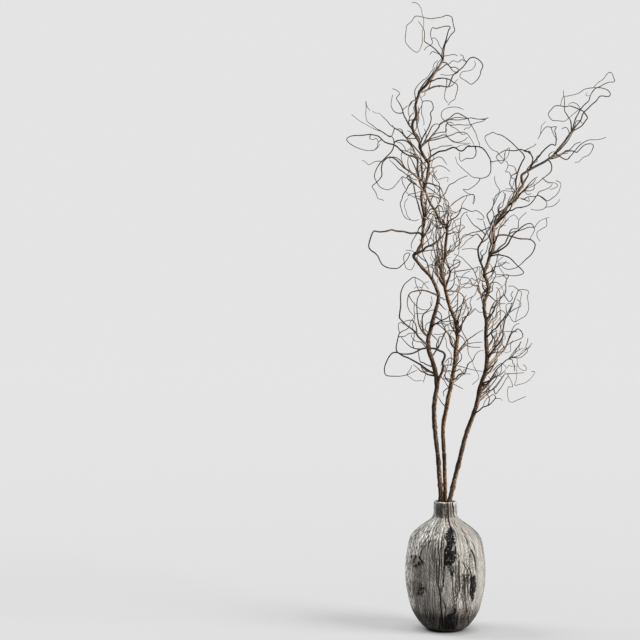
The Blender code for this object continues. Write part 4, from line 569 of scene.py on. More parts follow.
# Finer shoots than the solid has, in the same form: (root radius, depth reached, [(x, z), ...])
LEFT_FINE = [
    (1.3, 30, [(-30, 592), (-40, 596), (-50, 602), (-58, 605), (-66, 613), (-75, 620)]),
    (1.1, -30, [(-32, 599), (-42, 604), (-50, 610), (-57, 616), (-52, 606), (-45, 603)]),
    (1.0, 55, [(-34, 613), (-43, 618), (-52, 625), (-58, 626), (-61, 634), (-63, 648), (-65, 658)]),
    (0.8, 20, [(-46, 602), (-48, 591), (-52, 579)]),
    (0.9, 60, [(-52, 658), (-66, 657), (-80, 661), (-92, 671), (-103, 684)]),
    (0.8, -60, [(-108, 686), (-95, 687), (-86, 693), (-72, 694), (-60, 693), (-52, 697)]),
    (0.7, -40, [(-107, 694), (-110, 705), (-110, 716), (-104, 719), (-98, 715)]),
    (1.0, 40, [(-70, 692), (-68, 705), (-71, 717), (-78, 724), (-88, 724), (-97, 721)]),
    (1.4, -20, [(-41, 684), (-51, 698), (-54, 715), (-54, 732), (-49, 741), (-41, 748), (-34, 757),
     (-35, 768)]),
    (1.2, 30, [(-22, 733), (-13, 726), (-5, 721), (6, 722), (18, 724)]),
    (1.0, -35, [(-30, 712), (-20, 716), (-8, 718), (4, 713), (16, 714)]),
    (1.1, 25, [(-19, 776), (-8, 777), (-2, 772), (6, 775)]),
    (1.0, -25, [(-17, 768), (-10, 760), (-3, 752), (3, 749)]),
    (1.1, -30, [(-30, 820), (-29, 838), (-27, 846), (-34, 850), (-46, 848)]),
    (0.9, 25, [(-41, 852), (-33, 855), (-26, 853), (-22, 861)]),
    (1.3, -20, [(-42, 852), (-45, 863), (-51, 874), (-54, 888), (-52, 905), (-53, 922)]),
    (1.0, 45, [(-60, 884), (-50, 886), (-38, 889), (-26, 889), (-12, 891), (0, 886)]),
    (1.6, -15, [(-53, 918), (-44, 932), (-38, 945), (-33, 960), (-27, 975), (-24, 988)]),
    (1.1, 40, [(-50, 922), (-40, 929), (-31, 937), (-25, 946), (-16, 944), (-8, 940)]),
    (0.9, 15, [(-52, 956), (-44, 962), (-38, 971), (-31, 979), (-20, 981), (-6, 980), (4, 981)]),
    (1.6, -14, [(-50, 960), (-46, 976), (-47, 995), (-43, 1012), (-46, 1026), (-46, 1042)]),
    (1.4, -35, [(-56, 1034), (-66, 1042), (-77, 1051), (-87, 1063), (-99, 1073), (-110, 1080), (-120, 1091),
     (-130, 1100)]),
    (1.1, -90, [(-94, 1081), (-99, 1090), (-105, 1099), (-114, 1106), (-124, 1108), (-132, 1104)]),
    (0.9, 25, [(-62, 1046), (-74, 1047), (-84, 1052), (-90, 1060), (-86, 1065), (-79, 1058), (-70, 1054)]),
    (0.7, -55, [(-86, 1062), (-94, 1058), (-101, 1062), (-101, 1050), (-97, 1040), (-93, 1033)]),
    (1.8, 18, [(-47, 1040), (-54, 1056), (-55, 1072), (-57, 1088), (-56, 1100), (-60, 1112)]),
    (1.3, -20, [(-54, 1064), (-50, 1075), (-46, 1084), (-52, 1094), (-58, 1104), (-66, 1108)]),
    (0.9, 40, [(-78, 1066), (-84, 1078), (-88, 1092), (-87, 1107), (-82, 1112)]),
    (0.9, -45, [(-94, 1155), (-100, 1161), (-101, 1170), (-107, 1174), (-115, 1173)]),
    (0.9, 20, [(-86, 1186), (-84, 1200), (-79, 1208), (-73, 1213), (-75, 1226)]),
    (0.7, 30, [(-99, 1220), (-92, 1226), (-85, 1230), (-80, 1238)]),
    (1.1, -35, [(-53, 1134), (-46, 1150), (-39, 1164), (-31, 1180), (-22, 1186), (-12, 1184), (-4, 1190)]),
    (0.9, 60, [(-50, 1130), (-38, 1150), (-26, 1161), (-12, 1166), (2, 1168), (1, 1182), (8, 1190),
     (18, 1187)]),
    (0.8, -40, [(-44, 1138), (-32, 1150), (-16, 1156), (-2, 1160), (8, 1152), (18, 1144), (34, 1141),
     (58, 1140)]),
    (0.7, 20, [(-58, 1150), (-63, 1170), (-66, 1184), (-66, 1198)]),
    (1.4, 20, [(-40, 1092), (-35, 1108), (-36, 1124), (-39, 1138), (-37, 1150), (-31, 1160)]),
    (0.8, 50, [(-36, 1120), (-29, 1126), (-20, 1128), (-10, 1133), (4, 1134), (16, 1136)]),
    (0.7, -30, [(-38, 1098), (-27, 1103), (-17, 1108), (-8, 1106), (-3, 1100), (3, 1091)]),
    (0.8, 60, [(3, 1194), (14, 1195), (30, 1195), (46, 1197), (60, 1200), (76, 1197), (96, 1198)]),
    (0.7, -30, [(2, 1190), (10, 1182), (30, 1184), (48, 1183), (60, 1184), (74, 1189), (88, 1192),
     (98, 1200)]),
    (0.7, 50, [(2, 1188), (0, 1172), (4, 1158), (14, 1148), (28, 1143), (44, 1147), (52, 1154)]),
    (0.7, -70, [(8, 1186), (16, 1179), (26, 1174), (34, 1166), (40, 1161), (50, 1163)]),
    (0.7, -30, [(60, 1182), (56, 1176), (48, 1176), (44, 1171)]),
    (0.6, 70, [(-2, 1193), (-9, 1202), (-9, 1212), (-2, 1220), (12, 1225), (28, 1225), (42, 1220)]),
    (0.7, 60, [(24, 1127), (33, 1134), (46, 1137), (58, 1135)]),
    (0.8, 40, [(80, 1059), (80, 1054), (72, 1044), (62, 1036), (52, 1031), (42, 1032), (50, 1024),
     (60, 1020), (68, 1018), (69, 1008), (66, 998)]),
    (1.5, 12, [(-66, 1244), (-60, 1264), (-52, 1278), (-42, 1290), (-32, 1302), (-24, 1318)]),
    (1.3, -14, [(-50, 1272), (-38, 1290), (-28, 1304), (-21, 1316), (-18, 1328), (-10, 1338)]),
    (1.1, 22, [(-56, 1262), (-45, 1264), (-38, 1272), (-34, 1284), (-24, 1290), (-12, 1292)]),
    (1.0, 30, [(-22, 1309), (-13, 1314), (-5, 1320), (4, 1326), (11, 1319), (17, 1311), (28, 1306)]),
    (0.9, -20, [(-6, 1334), (-8, 1348), (-6, 1362), (-2, 1374), (2, 1386), (6, 1398)]),
    (0.6, -40, [(-6, 1360), (-14, 1370), (-18, 1380), (-26, 1388), (-33, 1385)]),
    (0.6, 35, [(-3, 1345), (8, 1347), (20, 1349), (28, 1346)]),
    (0.6, 50, [(8, 1326), (18, 1334), (30, 1331), (38, 1337), (44, 1333)]),
    (0.8, 20, [(50, 1331), (44, 1337), (41, 1346), (35, 1348)]),
    (0.6, -45, [(-10, 1348), (-20, 1352), (-30, 1356), (-36, 1349)]),
]
MIDDLE_FINE = [
    (0.8, 25, [(8, 568), (1, 562), (-5, 555), (-3, 546)]),
    (0.7, 40, [(16, 576), (26, 571), (34, 567), (41, 563)]),
    (1.3, -20, [(14, 576), (5, 583), (-1, 594), (2, 606), (-1, 617), (-8, 626)]),
    (0.9, 35, [(14, 604), (6, 606), (1, 602), (-4, 608)]),
    (0.9, -30, [(20, 604), (28, 606), (34, 610), (40, 601), (46, 597)]),
    (1.1, 55, [(23, 620), (30, 632), (30, 645), (38, 656), (48, 665), (58, 662), (70, 661), (82, 661)]),
    (0.9, -40, [(22, 612), (28, 622), (37, 632), (38, 643), (33, 651)]),
    (0.7, 30, [(74, 605), (78, 596), (78, 587), (70, 579), (64, 574)]),
    (0.8, -30, [(27, 690), (35, 688), (42, 682), (46, 674)]),
    (1.3, -25, [(26, 712), (31, 730), (36, 746), (39, 762), (45, 776)]),
    (1.1, 40, [(27, 708), (37, 728), (45, 744), (47, 760), (42, 773), (49, 782)]),
    (1.0, -50, [(28, 700), (38, 714), (46, 727), (54, 740), (61, 752), (58, 766), (63, 779)]),
    (0.9, 60, [(44, 730), (54, 738), (63, 746), (70, 752), (78, 744), (88, 743)]),
    (1.0, -20, [(28, 694), (37, 708), (42, 722), (50, 734), (54, 748), (50, 760)]),
    (1.0, 20, [(8, 760), (15, 753), (22, 757), (28, 763), (30, 771), (24, 768)]),
    (0.8, -45, [(20, 738), (28, 752), (29, 772), (30, 793), (32, 804), (24, 808)]),
    (0.9, 30, [(2, 790), (9, 784), (16, 785), (19, 791), (12, 796)]),
    (0.9, -35, [(0, 792), (13, 799), (20, 810), (21, 824), (22, 842)]),
    (0.9, 55, [(20, 794), (34, 797), (45, 806), (54, 814), (61, 823)]),
    (1.9, -14, [(0, 802), (6, 818), (11, 834), (8, 850), (3, 864), (0, 880)]),
    (1.5, 24, [(-1, 800), (-12, 816), (-18, 832), (-20, 848), (-17, 860), (-9, 868), (-3, 878)]),
    (1.6, -24, [(-2, 806), (-12, 822), (-22, 838), (-24, 858), (-23, 876), (-27, 894), (-27, 914),
     (-30, 936)]),
    (1.5, 36, [(-4, 815), (-12, 832), (-12, 850), (-16, 868), (-20, 890), (-17, 910), (-13, 926), (-9, 941),
     (-3, 952)]),
    (1.4, -34, [(-5, 824), (-8, 842), (-8, 862), (-5, 880), (-10, 900), (-6, 916), (-3, 934), (-8, 950)]),
    (1.4, 14, [(-6, 838), (-16, 852), (-20, 872), (-16, 890), (-20, 908), (-24, 926), (-20, 946),
     (-24, 962)]),
    (1.3, 46, [(-6, 850), (-14, 866), (-13, 884), (-17, 902), (-12, 920), (-16, 938), (-12, 956),
     (-18, 972)]),
    (1.2, -46, [(-3, 862), (-10, 880), (-6, 896), (-12, 912), (-10, 930), (-18, 944), (-16, 960)]),
    (1.0, 40, [(8, 846), (16, 852), (26, 858), (37, 863)]),
    (0.9, -40, [(10, 838), (18, 846), (27, 849), (34, 858), (30, 866), (18, 864)]),
    (0.8, 55, [(22, 842), (27, 827), (34, 817), (37, 808), (46, 811)]),
    (0.7, -60, [(36, 816), (40, 828), (48, 836), (58, 840)]),
    (1.1, 35, [(2, 880), (10, 890), (18, 887), (24, 896), (31, 901), (34, 912), (30, 926), (34, 940),
     (36, 956), (37, 966), (44, 976), (52, 979)]),
    (0.9, -30, [(4, 926), (12, 928), (22, 932), (33, 931), (39, 939), (45, 942)]),
    (1.3, 20, [(2, 936), (-4, 944), (-14, 940), (-22, 948), (-20, 960), (-26, 972)]),
    (1.2, -26, [(3, 938), (10, 948), (14, 958), (12, 968), (18, 976), (13, 986), (7, 996)]),
    (1.2, 30, [(3, 944), (-3, 954), (-12, 958), (-20, 966), (-14, 978), (-18, 990)]),
    (1.1, -18, [(2, 946), (8, 954), (4, 964), (8, 974), (2, 984), (6, 994)]),
    (1.2, 34, [(-18, 969), (-22, 984), (-16, 996), (-13, 1008), (-5, 1018)]),
    (1.0, -30, [(-25, 984), (-16, 994), (-8, 990), (-5, 982), (-2, 970)]),
    (0.7, 40, [(-38, 1008), (-28, 1014), (-18, 1012), (-12, 1006)]),
    (1.1, 20, [(-26, 984), (-34, 986), (-40, 978), (-44, 966), (-38, 955)]),
    (1.3, -22, [(-64, 1064), (-68, 1076), (-73, 1088), (-78, 1099), (-85, 1111)]),
    (1.0, 50, [(-66, 1102), (-74, 1114), (-84, 1119), (-94, 1122), (-104, 1124)]),
    (0.8, -40, [(-66, 1100), (-74, 1120), (-83, 1127), (-91, 1122), (-96, 1131), (-104, 1140),
     (-116, 1144)]),
    (0.6, 35, [(-100, 1122), (-104, 1110), (-101, 1096)]),
    (0.8, -70, [(-121, 1139), (-122, 1149), (-126, 1156), (-134, 1158), (-146, 1166), (-156, 1172)]),
    (0.7, -60, [(-150, 1150), (-158, 1142), (-160, 1132), (-168, 1124), (-178, 1123)]),
    (0.6, 40, [(-176, 1161), (-178, 1152), (-170, 1149), (-162, 1152), (-158, 1144)]),
]
RIGHT_FINE = [
    (1.3, 20, [(76, 538), (89, 549), (99, 557), (110, 561), (120, 568)]),
    (1.5, -25, [(80, 552), (95, 567), (107, 581), (115, 591), (122, 595), (131, 592)]),
    (1.6, 35, [(82, 560), (94, 571), (103, 580), (110, 590), (118, 597), (122, 606)]),
    (1.4, -40, [(86, 574), (98, 580), (108, 585), (119, 592), (130, 597), (138, 604)]),
    (1.4, 15, [(90, 590), (102, 600), (114, 608), (122, 617), (131, 623)]),
    (1.3, 55, [(80, 548), (93, 556), (104, 567), (113, 578), (121, 590), (124, 603)]),
    (1.3, -30, [(94, 604), (106, 614), (116, 622), (122, 632), (121, 644), (127, 652), (135, 655)]),
    (1.4, 30, [(96, 618), (108, 628), (116, 636), (122, 645), (129, 650), (137, 651)]),
    (1.3, -55, [(92, 594), (104, 604), (113, 617), (118, 630), (126, 640), (132, 642)]),
    (1.3, -20, [(97, 636), (107, 648), (114, 655), (117, 664), (116, 680), (121, 690), (119, 705),
     (125, 716), (136, 728), (141, 737)]),
    (1.2, 25, [(96, 655), (104, 667), (110, 675), (111, 685), (108, 692), (114, 697), (122, 700)]),
    (1.3, -45, [(96, 684), (106, 694), (113, 702), (121, 707), (128, 717), (137, 728), (145, 740),
     (152, 752), (157, 766)]),
    (1.1, 45, [(97, 700), (103, 714), (108, 725), (117, 731), (121, 741), (130, 747), (137, 745),
     (142, 739)]),
    (0.8, 60, [(114, 655), (122, 672), (127, 690), (130, 706), (135, 718), (139, 730)]),
    (1.4, 65, [(124, 640), (134, 650), (141, 660), (146, 672), (150, 686), (156, 696), (163, 700)]),
    (1.3, 45, [(130, 648), (140, 656), (144, 668), (148, 680), (153, 690), (160, 698), (168, 697)]),
    (1.0, -45, [(150, 634), (158, 646), (165, 656), (172, 664), (178, 675), (173, 662), (174, 655)]),
    (1.0, -70, [(153, 637), (166, 650), (176, 656), (184, 659), (190, 657)]),
    (0.9, -40, [(156, 636), (170, 640), (182, 648), (192, 658), (200, 665), (203, 670)]),
    (0.8, -80, [(158, 636), (174, 636), (184, 642), (193, 652), (189, 661), (192, 670), (194, 682)]),
    (0.8, 20, [(132, 622), (140, 618), (144, 611), (149, 619), (155, 616), (161, 617), (163, 608)]),
    (0.7, -20, [(150, 634), (158, 631), (158, 624), (163, 618), (162, 606)]),
    (0.6, 30, [(168, 622), (174, 612), (184, 606), (190, 607), (189, 616), (184, 619)]),
    (0.9, -35, [(118, 566), (127, 578), (133, 588), (139, 597), (141, 608)]),
    (1.3, 30, [(96, 716), (104, 728), (110, 740), (115, 752), (120, 765), (127, 772), (134, 780),
     (138, 794)]),
    (1.2, -35, [(95, 726), (103, 734), (113, 744), (118, 757), (127, 766), (129, 778)]),
    (1.1, 55, [(96, 708), (106, 718), (117, 724), (122, 736), (120, 748), (124, 758), (132, 764)]),
    (0.9, -25, [(103, 785), (110, 777), (117, 771), (127, 764), (140, 764)]),
    (0.7, 40, [(142, 778), (150, 768), (158, 776), (154, 784), (159, 792)]),
    (1.1, -30, [(94, 770), (87, 784), (79, 790), (76, 801), (80, 815), (84, 830), (80, 846)]),
    (1.2, 25, [(99, 788), (90, 798), (87, 812), (89, 826), (85, 838), (88, 850)]),
    (1.0, 45, [(100, 800), (93, 790), (87, 780), (79, 776), (74, 772)]),
    (1.0, -50, [(97, 815), (86, 817), (78, 822), (70, 818), (62, 824)]),
    (1.1, 35, [(98, 812), (107, 820), (110, 832), (112, 842), (108, 852), (103, 858)]),
    (1.0, -30, [(95, 832), (105, 838), (113, 841), (117, 852), (121, 864), (122, 878)]),
    (1.1, 40, [(90, 852), (84, 862), (88, 872), (82, 882), (88, 890)]),
    (1.2, -25, [(88, 862), (86, 874), (95, 883), (99, 895), (101, 905), (107, 912)]),
    (1.4, 14, [(103, 872), (103, 888), (107, 904), (104, 918), (106, 932), (103, 944)]),
    (1.3, -16, [(104, 880), (111, 896), (107, 912), (109, 928), (107, 944)]),
    (1.2, -35, [(113, 902), (119, 914), (124, 927), (127, 940), (134, 946), (140, 954), (148, 961)]),
    (1.2, 30, [(114, 925), (122, 940), (131, 950), (138, 962), (141, 974), (141, 988), (149, 998)]),
    (1.8, 10, [(113, 945), (123, 955), (134, 965), (146, 977), (153, 987), (158, 1000), (168, 1012)]),
    (1.7, -12, [(110, 947), (119, 966), (130, 980), (139, 986), (147, 998), (155, 1012)]),
    (1.2, 24, [(108, 950), (113, 962), (114, 974), (110, 986), (114, 998), (112, 1010)]),
    (1.7, 10, [(142, 986), (152, 1000), (158, 1012), (164, 1026), (172, 1038), (176, 1050)]),
    (1.4, -30, [(148, 992), (160, 1002), (170, 1012), (178, 1024), (188, 1034), (197, 1045), (208, 1056),
     (216, 1061)]),
    (1.2, 28, [(166, 1016), (176, 1022), (186, 1028), (194, 1038), (206, 1046), (212, 1056)]),
    (0.8, 20, [(176, 1020), (186, 1026), (193, 1020), (201, 1022)]),
    (1.5, 14, [(181, 1044), (189, 1056), (195, 1067), (192, 1078), (199, 1088), (206, 1098)]),
    (0.8, -30, [(182, 1012), (190, 1006), (197, 1004), (196, 1012)]),
    (0.7, 45, [(222, 1020), (230, 1011), (237, 1003), (238, 995), (231, 986), (216, 983), (202, 985)]),
    (0.6, -40, [(236, 990), (250, 992), (262, 999), (269, 1008)]),
    (0.8, 60, [(229, 1060), (238, 1051), (247, 1048), (258, 1047), (264, 1040), (255, 1034), (247, 1032)]),
    (1.2, -15, [(256, 1114), (268, 1124), (281, 1138), (291, 1151), (299, 1166)]),
    (1.0, 20, [(250, 1108), (263, 1112), (276, 1117), (283, 1123), (291, 1124), (298, 1131), (306, 1139),
     (318, 1143)]),
    (0.8, -25, [(246, 1104), (243, 1112), (250, 1119), (259, 1121)]),
    (0.9, 35, [(242, 1102), (252, 1104), (264, 1108), (276, 1115), (288, 1117)]),
    (0.8, 15, [(210, 1092), (216, 1099), (214, 1107), (220, 1112)]),
    (0.7, -20, [(293, 1160), (289, 1171), (283, 1178), (274, 1174)]),
    (0.9, 25, [(298, 1168), (304, 1180), (308, 1192), (316, 1193), (321, 1188)]),
    (0.6, 55, [(317, 1222), (310, 1232), (298, 1236), (290, 1232)]),
    (0.6, -30, [(345, 1258), (338, 1252), (330, 1254), (334, 1260)]),
    (0.7, 30, [(248, 1178), (255, 1160), (262, 1150)]),
    (0.6, 35, [(124, 1121), (134, 1106), (139, 1102), (140, 1118), (150, 1130), (148, 1112), (140, 1102)]),
]

# Short curly twigs that fill each branch, drawn by a seeded rule: how many, and the seed
LEFT_TWIGS, LEFT_SEED = 14, 11
MIDDLE_TWIGS, MIDDLE_SEED = 48, 5
RIGHT_TWIGS, RIGHT_SEED = 22, 23
TWIG_LENGTH = (55.0, 125.0)
TWIG_RADIUS = (0.7, 0.95)
TWIG_STEP = 4.0
BEND_RADIUS = (14.0, 36.0)
BEND_TURNS_OVER = (18.0, 46.0)
UPWARD_LEAN = 0.035
LOWEST_TWIG = 505.0
THINNEST_HOST = 0.62
# The room that the twigs fill: (height, least x, greatest x, greatest distance to front or back)
ROOM = [
    (470, -10, 70, 40), (520, -30, 110, 90), (560, -45, 150, 130), (600, -110, 170, 150),
    (700, -105, 170, 170), (800, -100, 185, 150), (900, -95, 200, 140), (1000, -100, 215, 140),
    (1100, -140, 245, 145), (1150, -140, 255, 130), (1250, -110, 350, 130), (1300, -60, 100, 140),
    (1400, -85, 25, 170), (1460, -70, 0, 170),
]

# Each branch: its stem and the stem's girth, its shoots, its finer shoots, and its short twigs
BRANCHES = {
    "willow_left": (LEFT_STEM, LEFT_GIRTH, LEFT_SHOOTS, LEFT_FINE, LEFT_TWIGS, LEFT_SEED),
    "willow_middle": (
        MIDDLE_STEM, MIDDLE_GIRTH, MIDDLE_SHOOTS, MIDDLE_FINE, MIDDLE_TWIGS, MIDDLE_SEED
    ),
    "willow_right": (RIGHT_STEM, RIGHT_GIRTH, RIGHT_SHOOTS, RIGHT_FINE, RIGHT_TWIGS, RIGHT_SEED),
}


def ramp(value, low, high):
    """0 below low, 1 above high, smooth between."""
    t = max(0.0, min(1.0, (value - low) / (high - low)))
    return t * t * (3.0 - 2.0 * t)


def smooth_route(points, step):
    """Points every step millimetres or so on a smooth curve through the given points."""
    rows = [Vector(p) for p in points]
    rows = [rows[0] * 2 - rows[1]] + rows + [rows[-1] * 2 - rows[-2]]
    route = [rows[1]]
    for a, b, c, d in zip(rows, rows[1:], rows[2:], rows[3:]):
        pieces = max(1, round((c - b).length / step))
        for i in range(1, pieces + 1):
            t = i / pieces
            route.append(0.5 * (2 * b + (c - a) * t + (2 * a - 5 * b + 4 * c - d) * t ** 2
                                + (3 * b - 3 * c + d - a) * t ** 3))
    return route


def gone_along(route):
    """The length of the route up to each of its points."""
    gone = [0.0]
    for a, b in zip(route, route[1:]):
        gone.append(gone[-1] + (b - a).length)
    return gone


def straightened(route, radii, error):
    """The route as the few straight runs that the solid is made of, with the radius at each bend."""
    keep = {0, len(route) - 1}
    spans = [(0, len(route) - 1)]
    while spans:
        first, last = spans.pop()
        run = route[last] - route[first]
        worst, place = 0.0, None
        for i in range(first + 1, last):
            off = route[i] - route[first]
            along = max(0.0, min(1.0, off.dot(run) / max(run.length_squared, 1e-9)))
            distance = (off - run * along).length
            if distance > worst:
                worst, place = distance, i
        if worst > error:
            keep.add(place)
            spans += [(first, place), (place, last)]
    return [route[i] for i in sorted(keep)], [radii[i] for i in sorted(keep)]


def sampled(bends, radii):
    """Points and radii every few millimetres along straight runs."""
    points, widths = [bends[0]], [radii[0]]
    for a, b, thick, thin in zip(bends, bends[1:], radii, radii[1:]):
        pieces = max(1, round((b - a).length / SAMPLE))
        for i in range(1, pieces + 1):
            points.append(a.lerp(b, i / pieces))
            widths.append(thick + (thin - thick) * i / pieces)
    return points, widths


def between(table, key):
    """The values read off a table of (key, value, ...) rows, straight between the rows."""
    keys = [row[0] for row in table]
    return [float(np.interp(key, keys, [row[i] for row in table])) for i in range(1, len(table[0]))]


def seen(x, z, depth):
    """The true place of a point that lies at (x, z) in the plane y = 0 as seen from EYE."""
    return EYE + (Vector((x, 0.0, z)) - EYE) * (1.0 + depth / -EYE.y)


def seen_from_eye(place):
    """The reverse of seen: the (x, z) at which a true place shows in the plane y = 0."""
    flat = EYE + (place - EYE) * (-EYE.y / (place.y - EYE.y))
    return Vector((flat.x, flat.z))


class Standing:
    """All that stands already, so that what grows later keeps clear of it."""

    def __init__(self):
        self.sticks = []
        self.low = np.zeros((0, 3))
        self.high = np.zeros((0, 3))

    def add(self, route, radii, branch):
        here = np.array(route)
        self.sticks.append((branch, here, np.array(radii)))
        self.low = np.vstack([self.low, here.min(axis=0)])
        self.high = np.vstack([self.high, here.max(axis=0)])

    def clashes(self, route, radii, branch, off_others=CLEAR_OF_OTHERS, off_own=CLEAR_OF_OWN):
        """How often a route comes too near: (to other branches, to its own)."""
        here = np.array(route)
        reach = np.array(radii)
        low, high = here.min(axis=0) - NEIGHBOURHOOD, here.max(axis=0) + NEIGHBOURHOOD
        near = np.nonzero(((self.low <= high) & (self.high >= low)).all(axis=1))[0]
        root = np.linalg.norm(here - here[0], axis=1) < ROOT_ZONE
        others = own = 0
        for i in near:
            owner, there, widths = self.sticks[i]
            spacing = np.linalg.norm(here[:, None] - there[None], axis=2)
            spacing -= reach[:, None] + widths[None]
            if owner == branch:
                own += int((spacing[~root] < off_own).sum())
            else:
                others += int((spacing < off_others).sum())
        return others, own


def tapered(route, root, tip):
    """A radius for each of the route's points, from the root's down to the tip's."""
    last = max(len(route) - 1, 1)
    return [root + (tip - root) * (i / last) ** TAPER for i in range(len(route))]


def nearest_root(x, z, sticks):
    """The (point, radius) of the solid's sticks that shows nearest to (x, z), thick rather than thin."""
    here = Vector((x, z))
    places = [place for stick in sticks for place in zip(*sampled(*stick))]
    return min(places, key=lambda place: (seen_from_eye(place[0]) - here).length - THICK_FIRST * place[1])


def nearest_place(x, z, sticks):
    """As nearest_root, for the smooth sticks."""
    best, choice = None, None
    for route, radii in sticks:
        flat = np.array([seen_from_eye(point) for point in route]) - (x, z)
        away = np.hypot(flat[:, 0], flat[:, 1]) - THICK_FIRST * np.array(radii)
        i = int(away.argmin())
        if best is None or away[i] < best:
            best, choice = away[i], (route[i], radii[i])
    return choice


def shoot_route(root, reach, points):
    """The route of a shoot from its root: it swings out to its depth and part of the way back."""
    flat = smooth_route([(x, z, 0.0) for x, z in points], SAMPLE)
    start = seen_from_eye(root)
    shift = Vector((start.x - points[0][0], start.y - points[0][1], 0.0))
    route = []
    for i, point in enumerate(flat):
        part = i / (len(flat) - 1)
        moved = point + shift * max(0.0, 1.0 - part / ROOT_EASE)
        route.append(seen(moved.x, moved.y, root.y + reach * math.sin(SWING * math.pi * part)))
    return route


def at_each_depth(shoot, tip, place):
    """A listed shoot as (route, radii) at every depth that it may take, the listed depth first."""
    width, reach, points = shoot
    root, girth = place
    width = min(width, girth * CHILD_TO_PARENT)
    for change in DEPTH_CHANGES:
        route = shoot_route(root, reach + change, points)
        yield route, tapered(route, width, tip)


def grow_shoot(branch, shoot, sticks, standing):
    """A listed shoot, straight and smooth, at a depth where it crosses no other branch, or None."""
    fewest, choice = None, None
    for route, radii in at_each_depth(shoot, TIP_RADIUS, nearest_root(*shoot[2][0], sticks)):
        stick = straightened(route, radii, SHOOT_CHORD_ERROR)
        others, own = standing.clashes(*sampled(*stick), branch)
        if others == 0 and (fewest is None or own < fewest):
            fewest, choice = own, (stick, (route, radii))
        if fewest == 0:
            break
    return choice


def grow_finer_shoot(branch, shoot, sticks, standing):
    """A listed finer shoot at the first depth that keeps it clear, or else at the clearest."""
    fewest, choice = None, None
    for stick in at_each_depth(shoot, FINE_TIP, nearest_place(*shoot[2][0], sticks)):
        others, own = standing.clashes(*stick, branch, FINE_CLEARANCE, FINE_CLEARANCE)
        if fewest is None or others * 5 + own < fewest:
            fewest, choice = others * 5 + own, stick
        if fewest == 0:
            break
    return choice


def rolled(side, heading, turn):
    """The side towards which a twig bends, rolled round its heading."""
    side = (side + heading.cross(side).normalized() * turn).normalized()
    return (side - heading * side.dot(heading)).normalized()


def sideways(along, spread, rise, draw):
    """A random way out from a stick, square to it."""
    away = Vector((draw.gauss(0, spread), draw.gauss(0, 1.0), draw.gauss(rise, 0.5)))
    return (away - along * away.dot(along)).normalized()


def curl(root, heading, length, draw):
    """A curly twig's route: its bend keeps turning over, and it leans up a little."""
    route = [root.copy()]
    side = heading.orthogonal().normalized()
    bend = 1.0 / draw.uniform(*BEND_RADIUS)
    turns_over = draw.uniform(*BEND_TURNS_OVER)
    for step in range(int(length / TWIG_STEP)):
        heading = (heading + side * bend * TWIG_STEP + Vector((0, 0, UPWARD_LEAN))).normalized()
        side = rolled(side, heading, draw.uniform(-0.25, 0.45))
        route.append(route[-1] + heading * TWIG_STEP)
        turns_over -= TWIG_STEP
        if turns_over < 0.0:
            side = -side
            bend = 1.0 / draw.uniform(*BEND_RADIUS)
            turns_over = draw.uniform(*BEND_TURNS_OVER)
    return route


def wavy(root, heading, lean, length, draw):
    """A fine strand's route: slow waves with small kinks on them, and a hook at some of the tips."""
    route = [root.copy()]
    side = heading.orthogonal().normalized()
    spin = draw.uniform(0, math.tau)
    side = (side * math.cos(spin) + heading.cross(side) * math.sin(spin)).normalized()
    wave, phase = draw.uniform(*STRAND_WAVE), draw.uniform(0, math.tau)
    swing = 1.0 / draw.uniform(*STRAND_BEND)
    kink, kink_phase = draw.uniform(*KINK_WAVE), draw.uniform(0, math.tau)
    hook = draw.choice(HOOKS) / draw.uniform(*HOOK_RADIUS)
    for step in range(int(length / FINE_STEP)):
        gone = step * FINE_STEP
        bend = swing * math.sin(math.tau * gone / wave + phase)
        bend += KINK_BEND * math.sin(math.tau * gone / kink + kink_phase)
        bend += hook * ramp(gone / length, HOOK_START, 1.0)
        heading = (heading + side * bend * FINE_STEP + lean * STRAND_LEAN).normalized()
        side = rolled(side, heading, draw.uniform(-0.16, 0.26))
        route.append(route[-1] + heading * FINE_STEP)
    return route


def has_room(route):
    """Whether a twig stays in the room that its branch's twigs fill."""
    for point in route:
        low, high, depth = between(ROOM, point.z)
        if not (low < point.x < high and abs(point.y) < depth and ROOM[0][0] < point.z < ROOM[-1][0]):
            return False
    return True


def grow_twigs(branch, count, seed, sticks, standing):
    """Short twigs all over a branch, each drawn again until it has room and crosses nothing."""
    draw = random.Random(seed)
    hosts = [sampled(*stick) for stick in sticks]
    weights = [len(points) for points, radii in hosts]
    grown = []
    for tries in range(count * TWIG_TRIES):
        if len(grown) == count:
            break
        points, radii = draw.choices(hosts, weights)[0]
        i = draw.randrange(max(1, len(points) // 8), len(points) - 1)
        root = points[i]
        if root.z < LOWEST_TWIG or radii[i] < THINNEST_HOST:
            continue
        along = (points[i + 1] - points[i - 1]).normalized()
        away = sideways(along, 0.8, 0.2, draw)
        width = min(draw.uniform(*TWIG_RADIUS), radii[i] * CHILD_TO_PARENT)
        twig = curl(root, (along * 0.5 + away).normalized(), draw.uniform(*TWIG_LENGTH), draw)
        thick = tapered(twig, width, TIP_RADIUS)
        stick = straightened(twig, thick, SHOOT_CHORD_ERROR)
        if has_room(twig) and standing.clashes(*sampled(*stick), branch) == (0, 0):
            standing.add(*sampled(*stick), branch)
            grown.append((twig, thick))
    return grown


